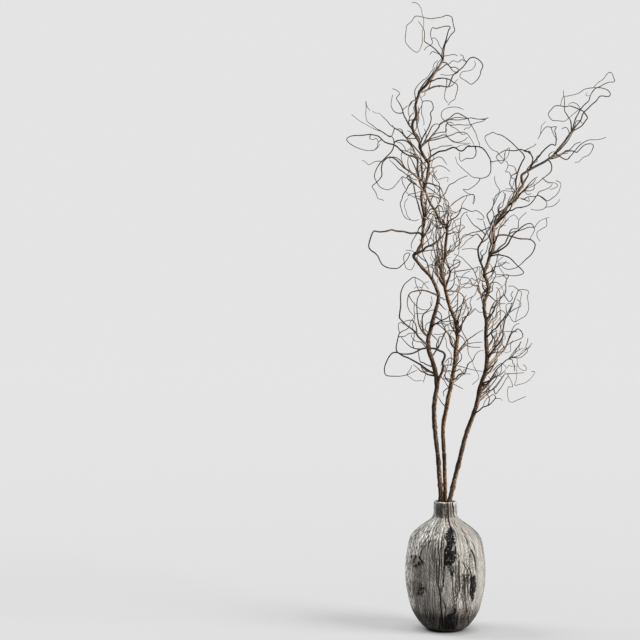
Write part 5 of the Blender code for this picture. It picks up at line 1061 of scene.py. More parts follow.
def grow_strands(thicket, sticks, draw, standing):
    """The fine strands of one thicket, grown from what already stands in it."""
    branch, lowest, highest, left, right, count, reach, lean = thicket
    lean = Vector(lean)
    places = []
    stem = np.array([seen_from_eye(point) for point in sticks[0][0]])
    for route, radii in sticks:
        for i in range(2, len(route) - 1):
            if (lowest < route[i].z < highest and left < route[i].x < right
                    and radii[i] > THINNEST_STRAND_HOST):
                places.append((route, radii, i))
    strands = []
    for tries in range(count * STRAND_TRIES):
        if len(strands) == count or not places:
            break
        route, radii, i = draw.choice(places)
        along = (route[i + 1] - route[i - 1]).normalized()
        away = sideways(along, 0.6, 0.1, draw)
        width = min(draw.uniform(*FINE_RADIUS), radii[i] * 0.9)
        heading = (along * draw.uniform(0.7, 1.7) + away + lean * 0.5).normalized()
        twig = wavy(route[i], heading, lean, draw.uniform(*FINE_LENGTH), draw)
        thick = tapered(twig, width, FINE_TIP)
        flat = np.array([seen_from_eye(point) for point in twig[::3]])
        if np.linalg.norm(flat[:, None] - stem[None], axis=2).min(axis=1).max() > reach:
            continue
        if not has_room(twig):
            continue
        if standing.clashes(twig, thick, branch, FINE_CLEARANCE, FINE_CLEARANCE) == (0, 0):
            standing.add(twig, thick, branch)
            strands.append((twig, thick))
    return strands


def grow_stem(stem, girth):
    """A main stem, straight and smooth: its flat cut end stands on the vase's floor."""
    inside = [Vector((x, y, z)) for x, z, y in stem if z < VASE_HEIGHT]
    above = [seen(x, z, depth) for x, z, depth in stem if z >= VASE_HEIGHT]
    route = smooth_route(inside + above, SAMPLE)
    radii = [between(girth, point.z)[0] for point in route]
    bends, widths = straightened(route, radii, STEM_CHORD_ERROR)
    cut_end = Vector((bends[0].x, bends[0].y, VASE_FLOOR + GAP))
    return ([cut_end] + bends, [widths[0]] + widths), ([cut_end] + route, [radii[0]] + radii)


def seated(stick, grown):
    """A route eased onto the finer stick that it grows from, since the solid's runs are straight."""
    route, radii = stick
    root = route[0]
    target = min((point for other, widths in grown for point in other),
                 key=lambda point: (point - root).length_squared)
    shift = target - root
    gone = gone_along(route)
    return [point + shift * max(0.0, 1.0 - part / SEAT_EASE) for point, part in zip(route, gone)], radii


def crooked(stick, turn):
    """A stick's route with small side steps, none at its root, as at the nodes of a real one."""
    route, radii = stick
    moved = []
    for point, gone in zip(route, gone_along(route)):
        step = noise.noise_vector(Vector((gone / CROOK_LENGTH, turn * 3.1, 0.0)))
        moved.append(point + step * TWIG_CROOK * ramp(gone, 0.0, SEAT_EASE))
    return moved, radii


def grow_branches():
    """Every branch as a list of smooth sticks (route, radii), the stem first, then its shoots."""
    noise.seed_set(CROOK_SEED)
    standing = Standing()
    plain, smooth = {}, {}
    for name, (stem, girth, shoots, finer, count, seed) in BRANCHES.items():
        stick, fine = grow_stem(stem, girth)
        standing.add(*sampled(*stick), name)
        plain[name], smooth[name] = [stick], [fine]
    for name, (stem, girth, shoots, finer, count, seed) in BRANCHES.items():
        for shoot in shoots:
            choice = grow_shoot(name, shoot, plain[name], standing)
            if choice:
                standing.add(*sampled(*choice[0]), name)
                plain[name].append(choice[0])
                smooth[name].append(seated(choice[1], smooth[name]))
    for name, (stem, girth, shoots, finer, count, seed) in BRANCHES.items():
        for number, twig in enumerate(grow_twigs(name, count, seed, plain[name], standing)):
            if number not in BROKEN_OFF[name]:
                smooth[name].append(crooked(seated(twig, smooth[name]), len(smooth[name])))
    for name, (stem, girth, shoots, finer, count, seed) in BRANCHES.items():
        for shoot in finer:
            choice = grow_finer_shoot(name, shoot, smooth[name], standing)
            standing.add(*choice, name)
            smooth[name].append(choice)
    draw = random.Random(FINE_SEED)
    strands = {name: [] for name in smooth}
    for thicket in THICKETS:
        name = thicket[0]
        strands[name] += grow_strands(thicket, smooth[name] + strands[name], draw, standing)
    return {name: smooth[name] + strands[name] for name in smooth}


class Nodes:
    """A node tree that is being built: each call adds a node and gives back one of its outputs."""

    def __init__(self, tree):
        self.tree = tree

    def feed(self, value, socket):
        """A value or another node's output into a socket."""
        if isinstance(value, bpy.types.NodeSocket):
            self.tree.links.new(value, socket)
        else:
            socket.default_value = value

    def add(self, kind, inputs=None, output=0, **settings):
        """Any node, with its settings, its inputs by name or number, and the output asked for."""
        made = self.tree.nodes.new(kind)
        for key, value in settings.items():
            setattr(made, key, value)
        for key, value in (inputs or {}).items():
            self.feed(value, made.inputs[key])
        return made.outputs[output]

    def maths(self, operation, *values, clamp=False):
        made = self.tree.nodes.new("ShaderNodeMath")
        made.operation = operation
        made.use_clamp = clamp
        for socket, value in zip(made.inputs, values):
            self.feed(value, socket)
        return made.outputs[0]

    def plus(self, a, b, clamp=False):
        return self.maths("ADD", a, b, clamp=clamp)

    def minus(self, a, b, clamp=False):
        return self.maths("SUBTRACT", a, b, clamp=clamp)

    def times(self, a, b, clamp=False):
        return self.maths("MULTIPLY", a, b, clamp=clamp)

    def vector(self, x, y, z=0.0):
        return self.add("ShaderNodeCombineXYZ", {"X": x, "Y": y, "Z": z})

    def axis(self, vector, name):
        return self.add("ShaderNodeSeparateXYZ", {0: vector}, output=name)

    def colour_ramp(self, value, *stops):
        """A colour ramp read at the value, from (position, colour or grey) stops."""
        made = self.tree.nodes.new("ShaderNodeValToRGB")
        bar = made.color_ramp.elements
        while len(bar) < len(stops):
            bar.new(1.0)
        for element, (position, *colour) in zip(bar, stops):
            element.position = position
            element.color = (*(colour if len(colour) == 3 else colour * 3), 1.0)
        self.feed(value, made.inputs[0])
        return made.outputs[0]

    def blend(self, share, a, b, how="MIX"):
        """A Mix node for colours: a where the share is 0, b or their product where it is 1."""
        made = self.tree.nodes.new("ShaderNodeMix")
        made.data_type = "RGBA"
        made.blend_type = how
        for number, value in ((0, share), (6, a), (7, b)):
            if isinstance(value, tuple):
                value = (*value, 1.0)
            self.feed(value, made.inputs[number])
        return made.outputs[2]

    def shaded(self, share, a, b):
        return self.blend(share, a, b, "MULTIPLY")

    def noise_at(self, place, scale, detail=3.0, rough=0.55, stretch=None):
        """Noise on a place, stretched by a Mapping where asked."""
        if stretch:
            place = self.add("ShaderNodeMapping", {"Vector": place, "Scale": stretch})
        return self.add("ShaderNodeTexNoise", {"Vector": place, "Scale": scale, "Detail": detail,
                                               "Roughness": rough}, output="Fac")

    def attribute(self, name):
        return self.add("ShaderNodeAttribute", output="Fac", attribute_name=name)

    def bumped(self, heights):
        """Bumps laid over each other, from (strength, distance, height) rows."""
        normal = None
        for strength, distance, height in heights:
            inputs = {"Strength": strength, "Distance": distance, "Height": height}
            if normal is not None:
                inputs["Normal"] = normal
            normal = self.add("ShaderNodeBump", inputs)
        return normal

    def stored(self, geometry, name, value, domain="POINT"):
        return self.add("GeometryNodeStoreNamedAttribute",
                        {"Geometry": geometry, "Name": name, "Value": value},
                        data_type="FLOAT", domain=domain)

    def read(self, name):
        return self.add("GeometryNodeInputNamedAttribute", {"Name": name}, data_type="FLOAT")

    def joined(self, *pieces):
        made = self.tree.nodes.new("GeometryNodeJoinGeometry")
        for piece in reversed(pieces):
            self.tree.links.new(piece, made.inputs[0])
        return made.outputs[0]

    def turned(self, rotation, axis, angle):
        """A rotation followed by a turn about an axis of its own."""
        turn = self.add("FunctionNodeAxisAngleToRotation", {"Axis": axis, "Angle": angle})
        return self.add("FunctionNodeRotateRotation", {0: rotation, 1: turn}, rotation_space="LOCAL")


def new_finish(name):
    material = bpy.data.materials.new(name)
    material.use_nodes = True
    return material, Nodes(material.node_tree), material.node_tree.nodes["Principled BSDF"].inputs


def plain_copy(item, name):
    """The evaluated object as a plain mesh, and the object that it was made from taken away."""
    bpy.context.view_layer.update()
    made = bpy.data.meshes.new_from_object(item.evaluated_get(bpy.context.evaluated_depsgraph_get()))
    bpy.data.objects.remove(item, do_unlink=True)
    made.name = name
    return made


def placed(name, data):
    item = bpy.data.objects.new(name, data)
    bpy.context.scene.collection.objects.link(item)
    return item


def buds(nodes, given, curves):
    """Small pointed buds, spaced along the thin shoots above the vase, each leaning off to a side."""
    dots = nodes.tree.nodes.new("GeometryNodeCurveToPoints")
    dots.mode = "LENGTH"
    nodes.feed(curves, dots.inputs["Curve"])
    nodes.feed(given["Bud spacing"], dots.inputs["Length"])
    thin = nodes.maths("LESS_THAN", nodes.read("girth"), THICKEST_WITH_BUDS)
    high = nodes.axis(nodes.add("GeometryNodeInputPosition"), "Z")
    above = nodes.maths("GREATER_THAN", high, LOWEST_BUD * MM)
    bud = nodes.add("GeometryNodeMeshCone", {"Vertices": 5, "Side Segments": 3, "Radius Top": 0.12,
                                             "Radius Bottom": 0.26, "Depth": 1.0})
    bud = nodes.add("GeometryNodeSetShadeSmooth", {"Geometry": bud})
    side = nodes.times(nodes.add("GeometryNodeInputIndex"), BUD_TURN)
    leaning = nodes.turned(dots.outputs["Rotation"], (0.0, 0.0, 1.0), side)
    leaning = nodes.turned(leaning, (1.0, 0.0, 0.0), BUD_LEAN)
    size = nodes.add("FunctionNodeRandomValue", {2: 0.6, 3: 1.1, "Seed": given["Seed"]}, output=1,
                     data_type="FLOAT")
    grown = nodes.add("GeometryNodeInstanceOnPoints", {
        "Points": dots.outputs["Points"], "Selection": nodes.times(thin, above), "Instance": bud,
        "Rotation": leaning, "Scale": nodes.times(given["Bud length"], size)})
    return nodes.add("GeometryNodeRealizeInstances", {"Geometry": grown})


def bark_tree():
    """Geometry Nodes: tapering sticks along the branch's curves, with ridged bark and buds."""
    tree = bpy.data.node_groups.new("Willow bark on a branch", "GeometryNodeTree")
    face = tree.interface
    face.new_socket("Branch", in_out="INPUT", socket_type="NodeSocketGeometry")
    for name, kind, value in (
            ("Stem sides", "Int", STEM_SIDES), ("Shoot sides", "Int", SHOOT_SIDES),
            ("Fine sides", "Int", FINE_SIDES), ("Ridge depth", "Float", RIDGE_DEPTH),
            ("Warmth", "Float", 0.0), ("Bud spacing", "Float", BUD_SPACING),
            ("Bud length", "Float", BUD_LENGTH), ("Seed", "Int", BARK_SEED)):
        socket = face.new_socket(name, in_out="INPUT", socket_type="NodeSocket" + kind)
        socket.default_value = value
    face.new_socket("Bark", in_out="INPUT", socket_type="NodeSocketMaterial")
    face.new_socket("Branch", in_out="OUTPUT", socket_type="NodeSocketGeometry")
    nodes = Nodes(tree)
    given = tree.nodes.new("NodeGroupInput").outputs
    radius = nodes.add("GeometryNodeInputRadius")
    tone = nodes.add("FunctionNodeRandomValue", {"Seed": given["Seed"]}, output=1, data_type="FLOAT")

    curves = nodes.stored(given["Branch"], "girth", radius)
    curves = nodes.stored(curves, "along", nodes.add("GeometryNodeSplineParameter", output="Length"))
    curves = nodes.stored(curves, "tone", tone, "CURVE")
    curves = nodes.stored(curves, "warmth", given["Warmth"], "CURVE")
    # How sheltered each place is comes in as the curve's tilt, which is then made level
    curves = nodes.stored(curves, "sheltered", nodes.add("GeometryNodeInputCurveTilt"))
    curves = nodes.add("GeometryNodeSetCurveTilt", {0: curves, 2: 0.0})
    mean = nodes.add("GeometryNodeFieldOnDomain", {0: radius}, domain="CURVE", data_type="FLOAT")
    barked = []
    for low, high, sides in ((STEM_ABOVE, 99.0, "Stem sides"), (SHOOT_ABOVE, STEM_ABOVE, "Shoot sides"),
                             (-1.0, SHOOT_ABOVE, "Fine sides")):
        over = nodes.add("FunctionNodeCompare", {"A": mean, "B": low}, data_type="FLOAT",
                         operation="GREATER_EQUAL")
        under = nodes.add("FunctionNodeCompare", {"A": mean, "B": high}, data_type="FLOAT",
                          operation="LESS_THAN")
        both = nodes.add("FunctionNodeBooleanMath", {0: over, 1: under}, operation="AND")
        chosen = nodes.add("GeometryNodeSeparateGeometry", {"Geometry": curves, "Selection": both},
                           domain="CURVE")
        ring = nodes.add("GeometryNodeCurvePrimitiveCircle", {"Resolution": given[sides], "Radius": MM})
        ring = nodes.stored(ring, "around", nodes.add("GeometryNodeSplineParameter", output="Factor"))
        barked.append(nodes.add("GeometryNodeCurveToMesh", {"Curve": chosen, "Profile Curve": ring,
                                                            "Scale": radius, "Fill Caps": True}))
    skin = nodes.joined(*barked)

    angle = nodes.times(nodes.read("around"), math.tau)
    ridge = nodes.vector(nodes.times(nodes.maths("COSINE", angle), 1.5),
                         nodes.times(nodes.maths("SINE", angle), 1.5),
                         nodes.plus(nodes.times(nodes.read("along"), 90.0),
                                    nodes.times(nodes.read("tone"), 50.0)))
    lift = nodes.times(nodes.minus(nodes.noise_at(ridge, 1.0, 3.0, 0.6), 0.5), given["Ridge depth"])
    lift = nodes.times(nodes.times(lift, nodes.read("girth")), 2.0 * MM)
    normal = nodes.add("GeometryNodeInputNormal")
    offset = nodes.add("ShaderNodeVectorMath", {0: normal, "Scale": lift}, operation="SCALE")
    skin = nodes.add("GeometryNodeSetPosition", {"Geometry": skin, "Offset": offset})
    skin = nodes.add("GeometryNodeSetShadeSmooth", {"Geometry": skin})
    # Painted light and shade: how far each place faces +X, for the finish to paint the key's side lighter
    # and the other darker
    painted_light_side = nodes.plus(nodes.times(nodes.axis(normal, "X"), 0.5), 0.5)
    skin = nodes.stored(skin, "painted_side_light", painted_light_side)

    whole = nodes.joined(skin, buds(nodes, given, curves))
    whole = nodes.add("GeometryNodeRealizeInstances", {"Geometry": whole})
    whole = nodes.add("GeometryNodeSetMaterial", {"Geometry": whole, "Material": given["Bark"]})
    nodes.feed(whole, tree.nodes.new("NodeGroupOutput").inputs[0])
    return tree


def stem_widths(route, radii):
    """A stem's widths, a little over the solid's higher up, with a swelling at each old knot."""
    widths = []
    for point, radius, gone in zip(route, radii, gone_along(route)):
        knot = max(0.0, noise.noise(Vector((gone / KNOT_SPACING, radii[0], 1.0))) - 0.12)
        widths.append(radius + STEM_FULLNESS * ramp(point.z, 380.0, 620.0) + radius * 0.45 * knot)
    return widths


def shoot_widths(route, radii):
    """A shoot's widths, with a collar at the root where it leaves its parent."""
    widths = []
    for radius, gone in zip(radii, gone_along(route)):
        full = max(radius * SHOOT_FULLNESS - TIP_FINENESS, THINNEST)
        widths.append(full * (1.0 + 0.4 * math.exp(-gone / 4.0)))
    return widths


def shelter(branches):
    """How crowded each seen square is: the mean count of different sticks in it and round it."""
    passing = {}
    for name, sticks in branches.items():
        for number, (route, radii) in enumerate(sticks):
            for point in route:
                x, z = seen_from_eye(point)
                square = (round(x / SHELTER_CELL), round(z / SHELTER_CELL))
                passing.setdefault(square, set()).add((name, number))

    def at(place):
        x, z = seen_from_eye(place)
        column, row = round(x / SHELTER_CELL), round(z / SHELTER_CELL)
        counts = [len(passing.get((column + i, row + j), ())) for i in (-1, 0, 1) for j in (-1, 0, 1)]
        return ramp(sum(counts) / 9.0, SHELTER_FROM, SHELTER_TO)
    return at


def branch_piece(branch, sticks, tree, bark, sheltered):
    """One branch: its curves, dressed by the tree, as a plain mesh."""
    name = branch + "_bark"
    curve = bpy.data.curves.new(name, "CURVE")
    curve.dimensions = "3D"
    for number, (route, radii) in enumerate(sticks):
        widths = shoot_widths(route, radii) if number else stem_widths(route, radii)
        spline = curve.splines.new("POLY")
        spline.points.add(len(route) - 1)
        for point, place, width in zip(spline.points, route, widths):
            point.co = (*(place * MM), 1.0)
            point.radius = width
            point.tilt = sheltered(place)
    guide = placed(name + "_routes", curve)
    dress = guide.modifiers.new("Bark", "NODES")
    dress.node_group = tree
    sockets = {item.name: item.identifier for item in tree.interface.items_tree if item.in_out == "INPUT"}
    dress[sockets["Bark"]] = bark
    dress[sockets["Warmth"]] = WARMTH[branch]
    return placed(name, plain_copy(guide, name))


def bark_finish():
    """Dry willow bark: dark brown, ridged along the stick, paler on the thin and sheltered twigs; light and
    shade painted by side.
    """
    material, nodes, shader = new_finish("Dry willow bark")
    girth, tone = nodes.attribute("girth"), nodes.attribute("tone")
    angle = nodes.times(nodes.attribute("around"), math.tau)
    skin = nodes.vector(nodes.maths("COSINE", angle), nodes.maths("SINE", angle),
                        nodes.plus(nodes.times(nodes.attribute("along"), 60.0), nodes.times(tone, 40.0)))
    ridges = nodes.noise_at(skin, 3.0, 4.0, 0.65)
    patches = nodes.noise_at(skin, 0.7, 2.0, 0.5)
    specks = nodes.noise_at(nodes.add("ShaderNodeTexCoord", output="Object"), 900.0, 2.0, 0.6)
    colour = nodes.colour_ramp(ridges, (0.34, 0.007, 0.005, 0.004), (0.45, 0.040, 0.029, 0.020),
                               (0.55, 0.130, 0.100, 0.073), (0.66, 0.310, 0.262, 0.210))
    rust = nodes.colour_ramp(ridges, (0.34, 0.012, 0.006, 0.003), (0.45, 0.066, 0.035, 0.018),
                             (0.55, 0.185, 0.112, 0.064), (0.66, 0.360, 0.270, 0.190))
    colour = nodes.blend(nodes.attribute("warmth"), colour, rust)
    warm = nodes.colour_ramp(patches, (0.36, 0.50, 0.46, 0.44), (0.50, 1.0, 0.95, 0.90),
                             (0.66, 1.55, 1.30, 1.08))
    colour = nodes.shaded(1.0, colour, warm)
    thin = nodes.times(nodes.minus(1.25, girth, clamp=True), 1.6, clamp=True)
    pale = nodes.colour_ramp(tone, (0.0, 0.020, 0.013, 0.008), (0.48, 0.050, 0.034, 0.024),
                             (0.78, 0.140, 0.104, 0.074), (1.0, 0.300, 0.240, 0.180))
    colour = nodes.blend(thin, colour, pale)
    young = nodes.colour_ramp(nodes.maths("DIVIDE", girth, 6.0), (0.14, 1.0), (0.20, 0.46, 0.40, 0.35),
                              (0.38, 0.54, 0.49, 0.44), (0.56, 1.0))
    colour = nodes.shaded(1.0, colour, young)
    tan = nodes.colour_ramp(tone, (0.0, 0.034, 0.024, 0.017), (0.40, 0.125, 0.092, 0.067),
                            (0.75, 0.270, 0.212, 0.160), (1.0, 0.430, 0.350, 0.280))
    slim = nodes.minus(3.2, girth, clamp=True)
    colour = nodes.blend(nodes.times(slim, nodes.attribute("sheltered")), colour, tan)
    colour = nodes.shaded(0.6, colour, nodes.colour_ramp(specks, (0.35, 0.65), (0.65, 1.3)))
    # Painted light and shade: lighter towards +X, where the key light falls, darker away from it, a little
    # lighter again at the far edge
    painted_side_light = nodes.colour_ramp(nodes.attribute("painted_side_light"), (0.0, 0.46, 0.43, 0.40),
                                 (0.22, 0.20, 0.183, 0.167), (0.50, 0.72, 0.685, 0.65),
                                 (0.85, 1.55, 1.56, 1.57))
    nodes.feed(nodes.shaded(1.0, colour, painted_side_light), shader["Base Color"])
    nodes.feed(nodes.bumped([(0.7, 0.0012, ridges), (0.3, 0.0002, specks)]), shader["Normal"])
    shader["Roughness"].default_value = 0.62
    shader["Specular IOR Level"].default_value = 0.14
    return material


def vase_outline():
    """The outside from the rim down to the foot, as smooth points every millimetre."""
    return smooth_route([(radius, 0.0, height) for radius, height in VASE_OUTLINE], 1.0)


def vase_profile():
    """(radius, height) from the middle of the inner floor up, over the rim, and down to the foot."""
    outline = vase_outline()
    lengths = gone_along(outline)
    outside = []
    for i in range(VASE_OUTER_ROWS + 1):
        length = VASE_RIM_ROUND + (lengths[-1] - VASE_RIM_ROUND) * i / VASE_OUTER_ROWS
        outside.append(min(zip(lengths, outline), key=lambda pair: abs(pair[0] - length))[1])
    inside = []
    step = VASE_OUTER_ROWS // VASE_INNER_ROWS
    for i in range(step, VASE_OUTER_ROWS - 1, step):
        down = (outside[i + 1] - outside[i - 1]).normalized()
        point = outside[i] + Vector((down.z, 0.0, -down.x)) * VASE_WALL
        if point.z > VASE_FLOOR + VASE_WALL / 2:
            inside.append((point.x, point.z))
    half = VASE_WALL / 2
    middle = VASE_OUTLINE[0][0] - half
    rim = []
    for i in range(RIM_ROWS + 1):
        turn = math.pi * i / RIM_ROWS
        rim.append((middle - half * math.cos(turn), VASE_HEIGHT - VASE_RIM_ROUND * (1 - math.sin(turn))))
    floor = [(0.0, VASE_FLOOR), (inside[-1][0] - VASE_WALL, VASE_FLOOR)]
    return floor + inside[::-1] + rim + [(point.x, point.z) for point in outside[1:]] + VASE_UNDERSIDE


def vase_piece(finish):
    """The vase: a lathe-turned shell, its outside carved with grain, and marked for the finish."""
    profile = vase_profile()
    mesh = bpy.data.meshes.new("vase_turning")
    edges = [(i, i + 1) for i in range(len(profile) - 1)]
    mesh.from_pydata([(radius * MM, 0.0, height * MM) for radius, height in profile], edges, [])
    turning = placed("vase_turning", mesh)
    turn = turning.modifiers.new("Turned", "SCREW")
    turn.axis = "Z"
    turn.angle = math.tau
    turn.steps = VASE_COLUMNS
    turn.render_steps = VASE_COLUMNS
    turn.use_merge_vertices = True
    turn.merge_threshold = WELD
    made = plain_copy(turning, "wooden_vase")
    made.shade_smooth()
    carve(made)
    made.materials.clear()
    made.materials.append(finish)
    return placed("wooden_vase", made)


def grain(turn, height):
    """The depth of the vase's wood figure at an angle from the front and a height in millimetres."""
    round_it = Vector((math.sin(turn), -math.cos(turn), 0.0))
    low = noise.noise(round_it * 2.2 + Vector((0, 0, height / 75.0)))
    slow = noise.noise(round_it * 4.5 + Vector((7, 3, height / 34.0)))
    across = turn * GIRTH_SCALE + (8.0 * low + 2.6 * slow)
    nearest = min(abs(across - middle) for middle in CATHEDRALS)
    rows = nearest / LINE_SPACING + height / ARCH_SPACING + 1.2 * low
    rows += 0.35 * noise.noise(round_it * 14.0 + Vector((1, 5, height / 14.0)))
    line = 1.0 - ramp(abs(rows - round(rows)) * 2.0, 0.12, 0.55)
    strength = noise.noise(round_it * 7.0 + Vector((4, 9, height / 42.0)))
    return line * ramp(strength, -0.35, 0.45)


def marks(across, heights, table, soft):
    """How dark the listed strokes are at each seen place: (strength, (height, across, half width), ...)."""
    dark = np.zeros(len(across))
    for number, (strength, *rows) in enumerate(table):
        rows = np.array(sorted(rows), dtype=float)
        low, high = rows[0, 0], rows[-1, 0]
        inside = np.nonzero((heights > low - soft) & (heights < high + soft))[0]
        level = heights[inside]
        middle = np.interp(level, rows[:, 0], rows[:, 1])
        sway = STROKE_SWAY * (np.sin(level / 3.3 + number) + 0.8 * np.sin(level / 8.1 + 2.0 * number))
        width = np.interp(level, rows[:, 0], rows[:, 2]) * STROKE_WIDTH
        off = np.abs(across[inside] - middle + sway) / width
        ends = np.clip((level - low) / soft + 1.0, 0.0, 1.0)
        ends *= np.clip((high - level) / soft + 1.0, 0.0, 1.0)
        dark[inside] = np.maximum(dark[inside], strength * ends * np.exp(-off ** 4))
    return dark


def drawn_marks(rule):
    """Strokes for the sides and back that the photographed front gives no places for."""
    count, shortest, longest, thin, thick, seed = rule
    draw = random.Random(seed)
    table = []
    for number in range(count):
        turn = draw.uniform(*HIDDEN_SIDES)
        top = draw.uniform(*HIDDEN_TOPS)
        length = draw.uniform(shortest, longest)
        width = draw.uniform(thin, thick)
        rows = []
        for i, full in enumerate((0.15, 0.8, 1.0, 0.75, 0.15)):
            height = top - length * i / 4
            if height > 2.0:
                across = turn + draw.uniform(-0.03, 0.03)
                rows.append((height, across, full * width * draw.uniform(0.7, 1.2)))
        if len(rows) > 1:
            table.append((draw.uniform(0.5, 1.0), rows))
    return table


def round_marks(turns, heights, girths, table):
    """As marks, for strokes that are placed by their angle round the vase."""
    dark = np.zeros(len(turns))
    for strength, rows in table:
        rows = np.array(sorted(rows))
        inside = np.nonzero((heights > rows[0, 0]) & (heights < rows[-1, 0]))[0]
        level = heights[inside]
        middle = np.interp(level, rows[:, 0], rows[:, 1])
        width = np.interp(level, rows[:, 0], rows[:, 2])
        away = np.abs((turns[inside] - middle + math.pi) % math.tau - math.pi)
        off = away * girths[inside] / width
        ends = np.minimum(level - rows[0, 0], rows[-1, 0] - level) / 8.0
        dark[inside] = np.maximum(dark[inside], strength * np.clip(ends, 0.0, 1.0) * np.exp(-off ** 4))
    return dark


def carve(mesh):
    """Cuts the grain into the outside, and keeps each kind of mark as an attribute for the finish."""
    co = np.empty(len(mesh.vertices) * 3)
    mesh.vertices.foreach_get("co", co)
    co = co.reshape(-1, 3) / MM
    girths = np.hypot(co[:, 0], co[:, 1])
    turns = np.arctan2(co[:, 0], -co[:, 1])
    heights = co[:, 2]
    outline = vase_outline()[::-1]
    turned = np.interp(heights, [point.z for point in outline], [point.x for point in outline])
    outer = girths > turned - 1.0
    rim = heights > VASE_HEIGHT - VASE_WALL
    # The front's marks are listed where they show in the plane y = 0 from the photograph's place
    nearer = EYE.y / (EYE.y - co[:, 1])
    across = EYE.x + (co[:, 0] - EYE.x) * nearer
    levels = EYE.z + (co[:, 2] - EYE.z) * nearer
    facing = (co[:, 0] * EYE.x + co[:, 1] * EYE.y) / (np.maximum(girths, 1.0) * math.hypot(EYE.x, EYE.y))
    sharp = np.clip(facing / 0.15, 0.0, 1.0)
    broad = np.clip(facing * 2.0 + 1.0, 0.0, 1.0)
    line = marks(across, levels, FRONT_LINES, 5.0) * sharp
    line = np.maximum(line, round_marks(turns, heights, girths, drawn_marks(HIDDEN_LINES)))
    stain = marks(across, levels, FRONT_STAINS, 4.0) * sharp
    stain = np.maximum(stain, round_marks(turns, heights, girths, drawn_marks(HIDDEN_STAINS)))
    brown = marks(across, levels, BROWN_PLACES, 3.0) * broad
    # Pale wash painted as glints and highlights on the shoulder, rim and left edge
    wash_and_glints = marks(across, levels, WASH_AND_GLINT_PLACES, 12.0) * broad
    # Smooth, even wood, partly painted lighter on the right where the key light falls
    smooth_and_lit = marks(across, levels, SMOOTH_AND_LIT_PLACES, 12.0) * broad
    groove = np.zeros(len(turns))
    for i in np.nonzero(outer)[0]:
        x, y, z = co[i]
        groove[i] = grain(turns[i], z)
        if z < VASE_HEIGHT - 2.5:
            swell = RIDGE_HEIGHT * noise.noise(Vector((x, y, z)) * 0.12)
            cut = GROOVE_DEPTH * max(groove[i] * 0.8, line[i])
            co[i, :2] *= 1.0 + (swell - cut) * ramp(z, 1.0, 7.0) / girths[i]
    for i in np.nonzero(rim)[0]:
        co[i, 2] += RIM_UNEVEN * (noise.noise(Vector(co[i]) * 0.06) - 0.35)
    mesh.vertices.foreach_set("co", (co * MM).ravel())
    shown = np.where(outer | rim, 1.0, 0.0)
    for name, values in (("groove", groove), ("line", line * shown), ("stain", stain * shown),
                         ("brown", brown * shown), ("wash_and_glints", wash_and_glints * shown), ("smooth", smooth_and_lit * shown),
                         ("outside", shown)):
        layer = mesh.attributes.new(name, "FLOAT", "POINT")
        layer.data.foreach_set("value", np.asarray(values, dtype=np.float32))


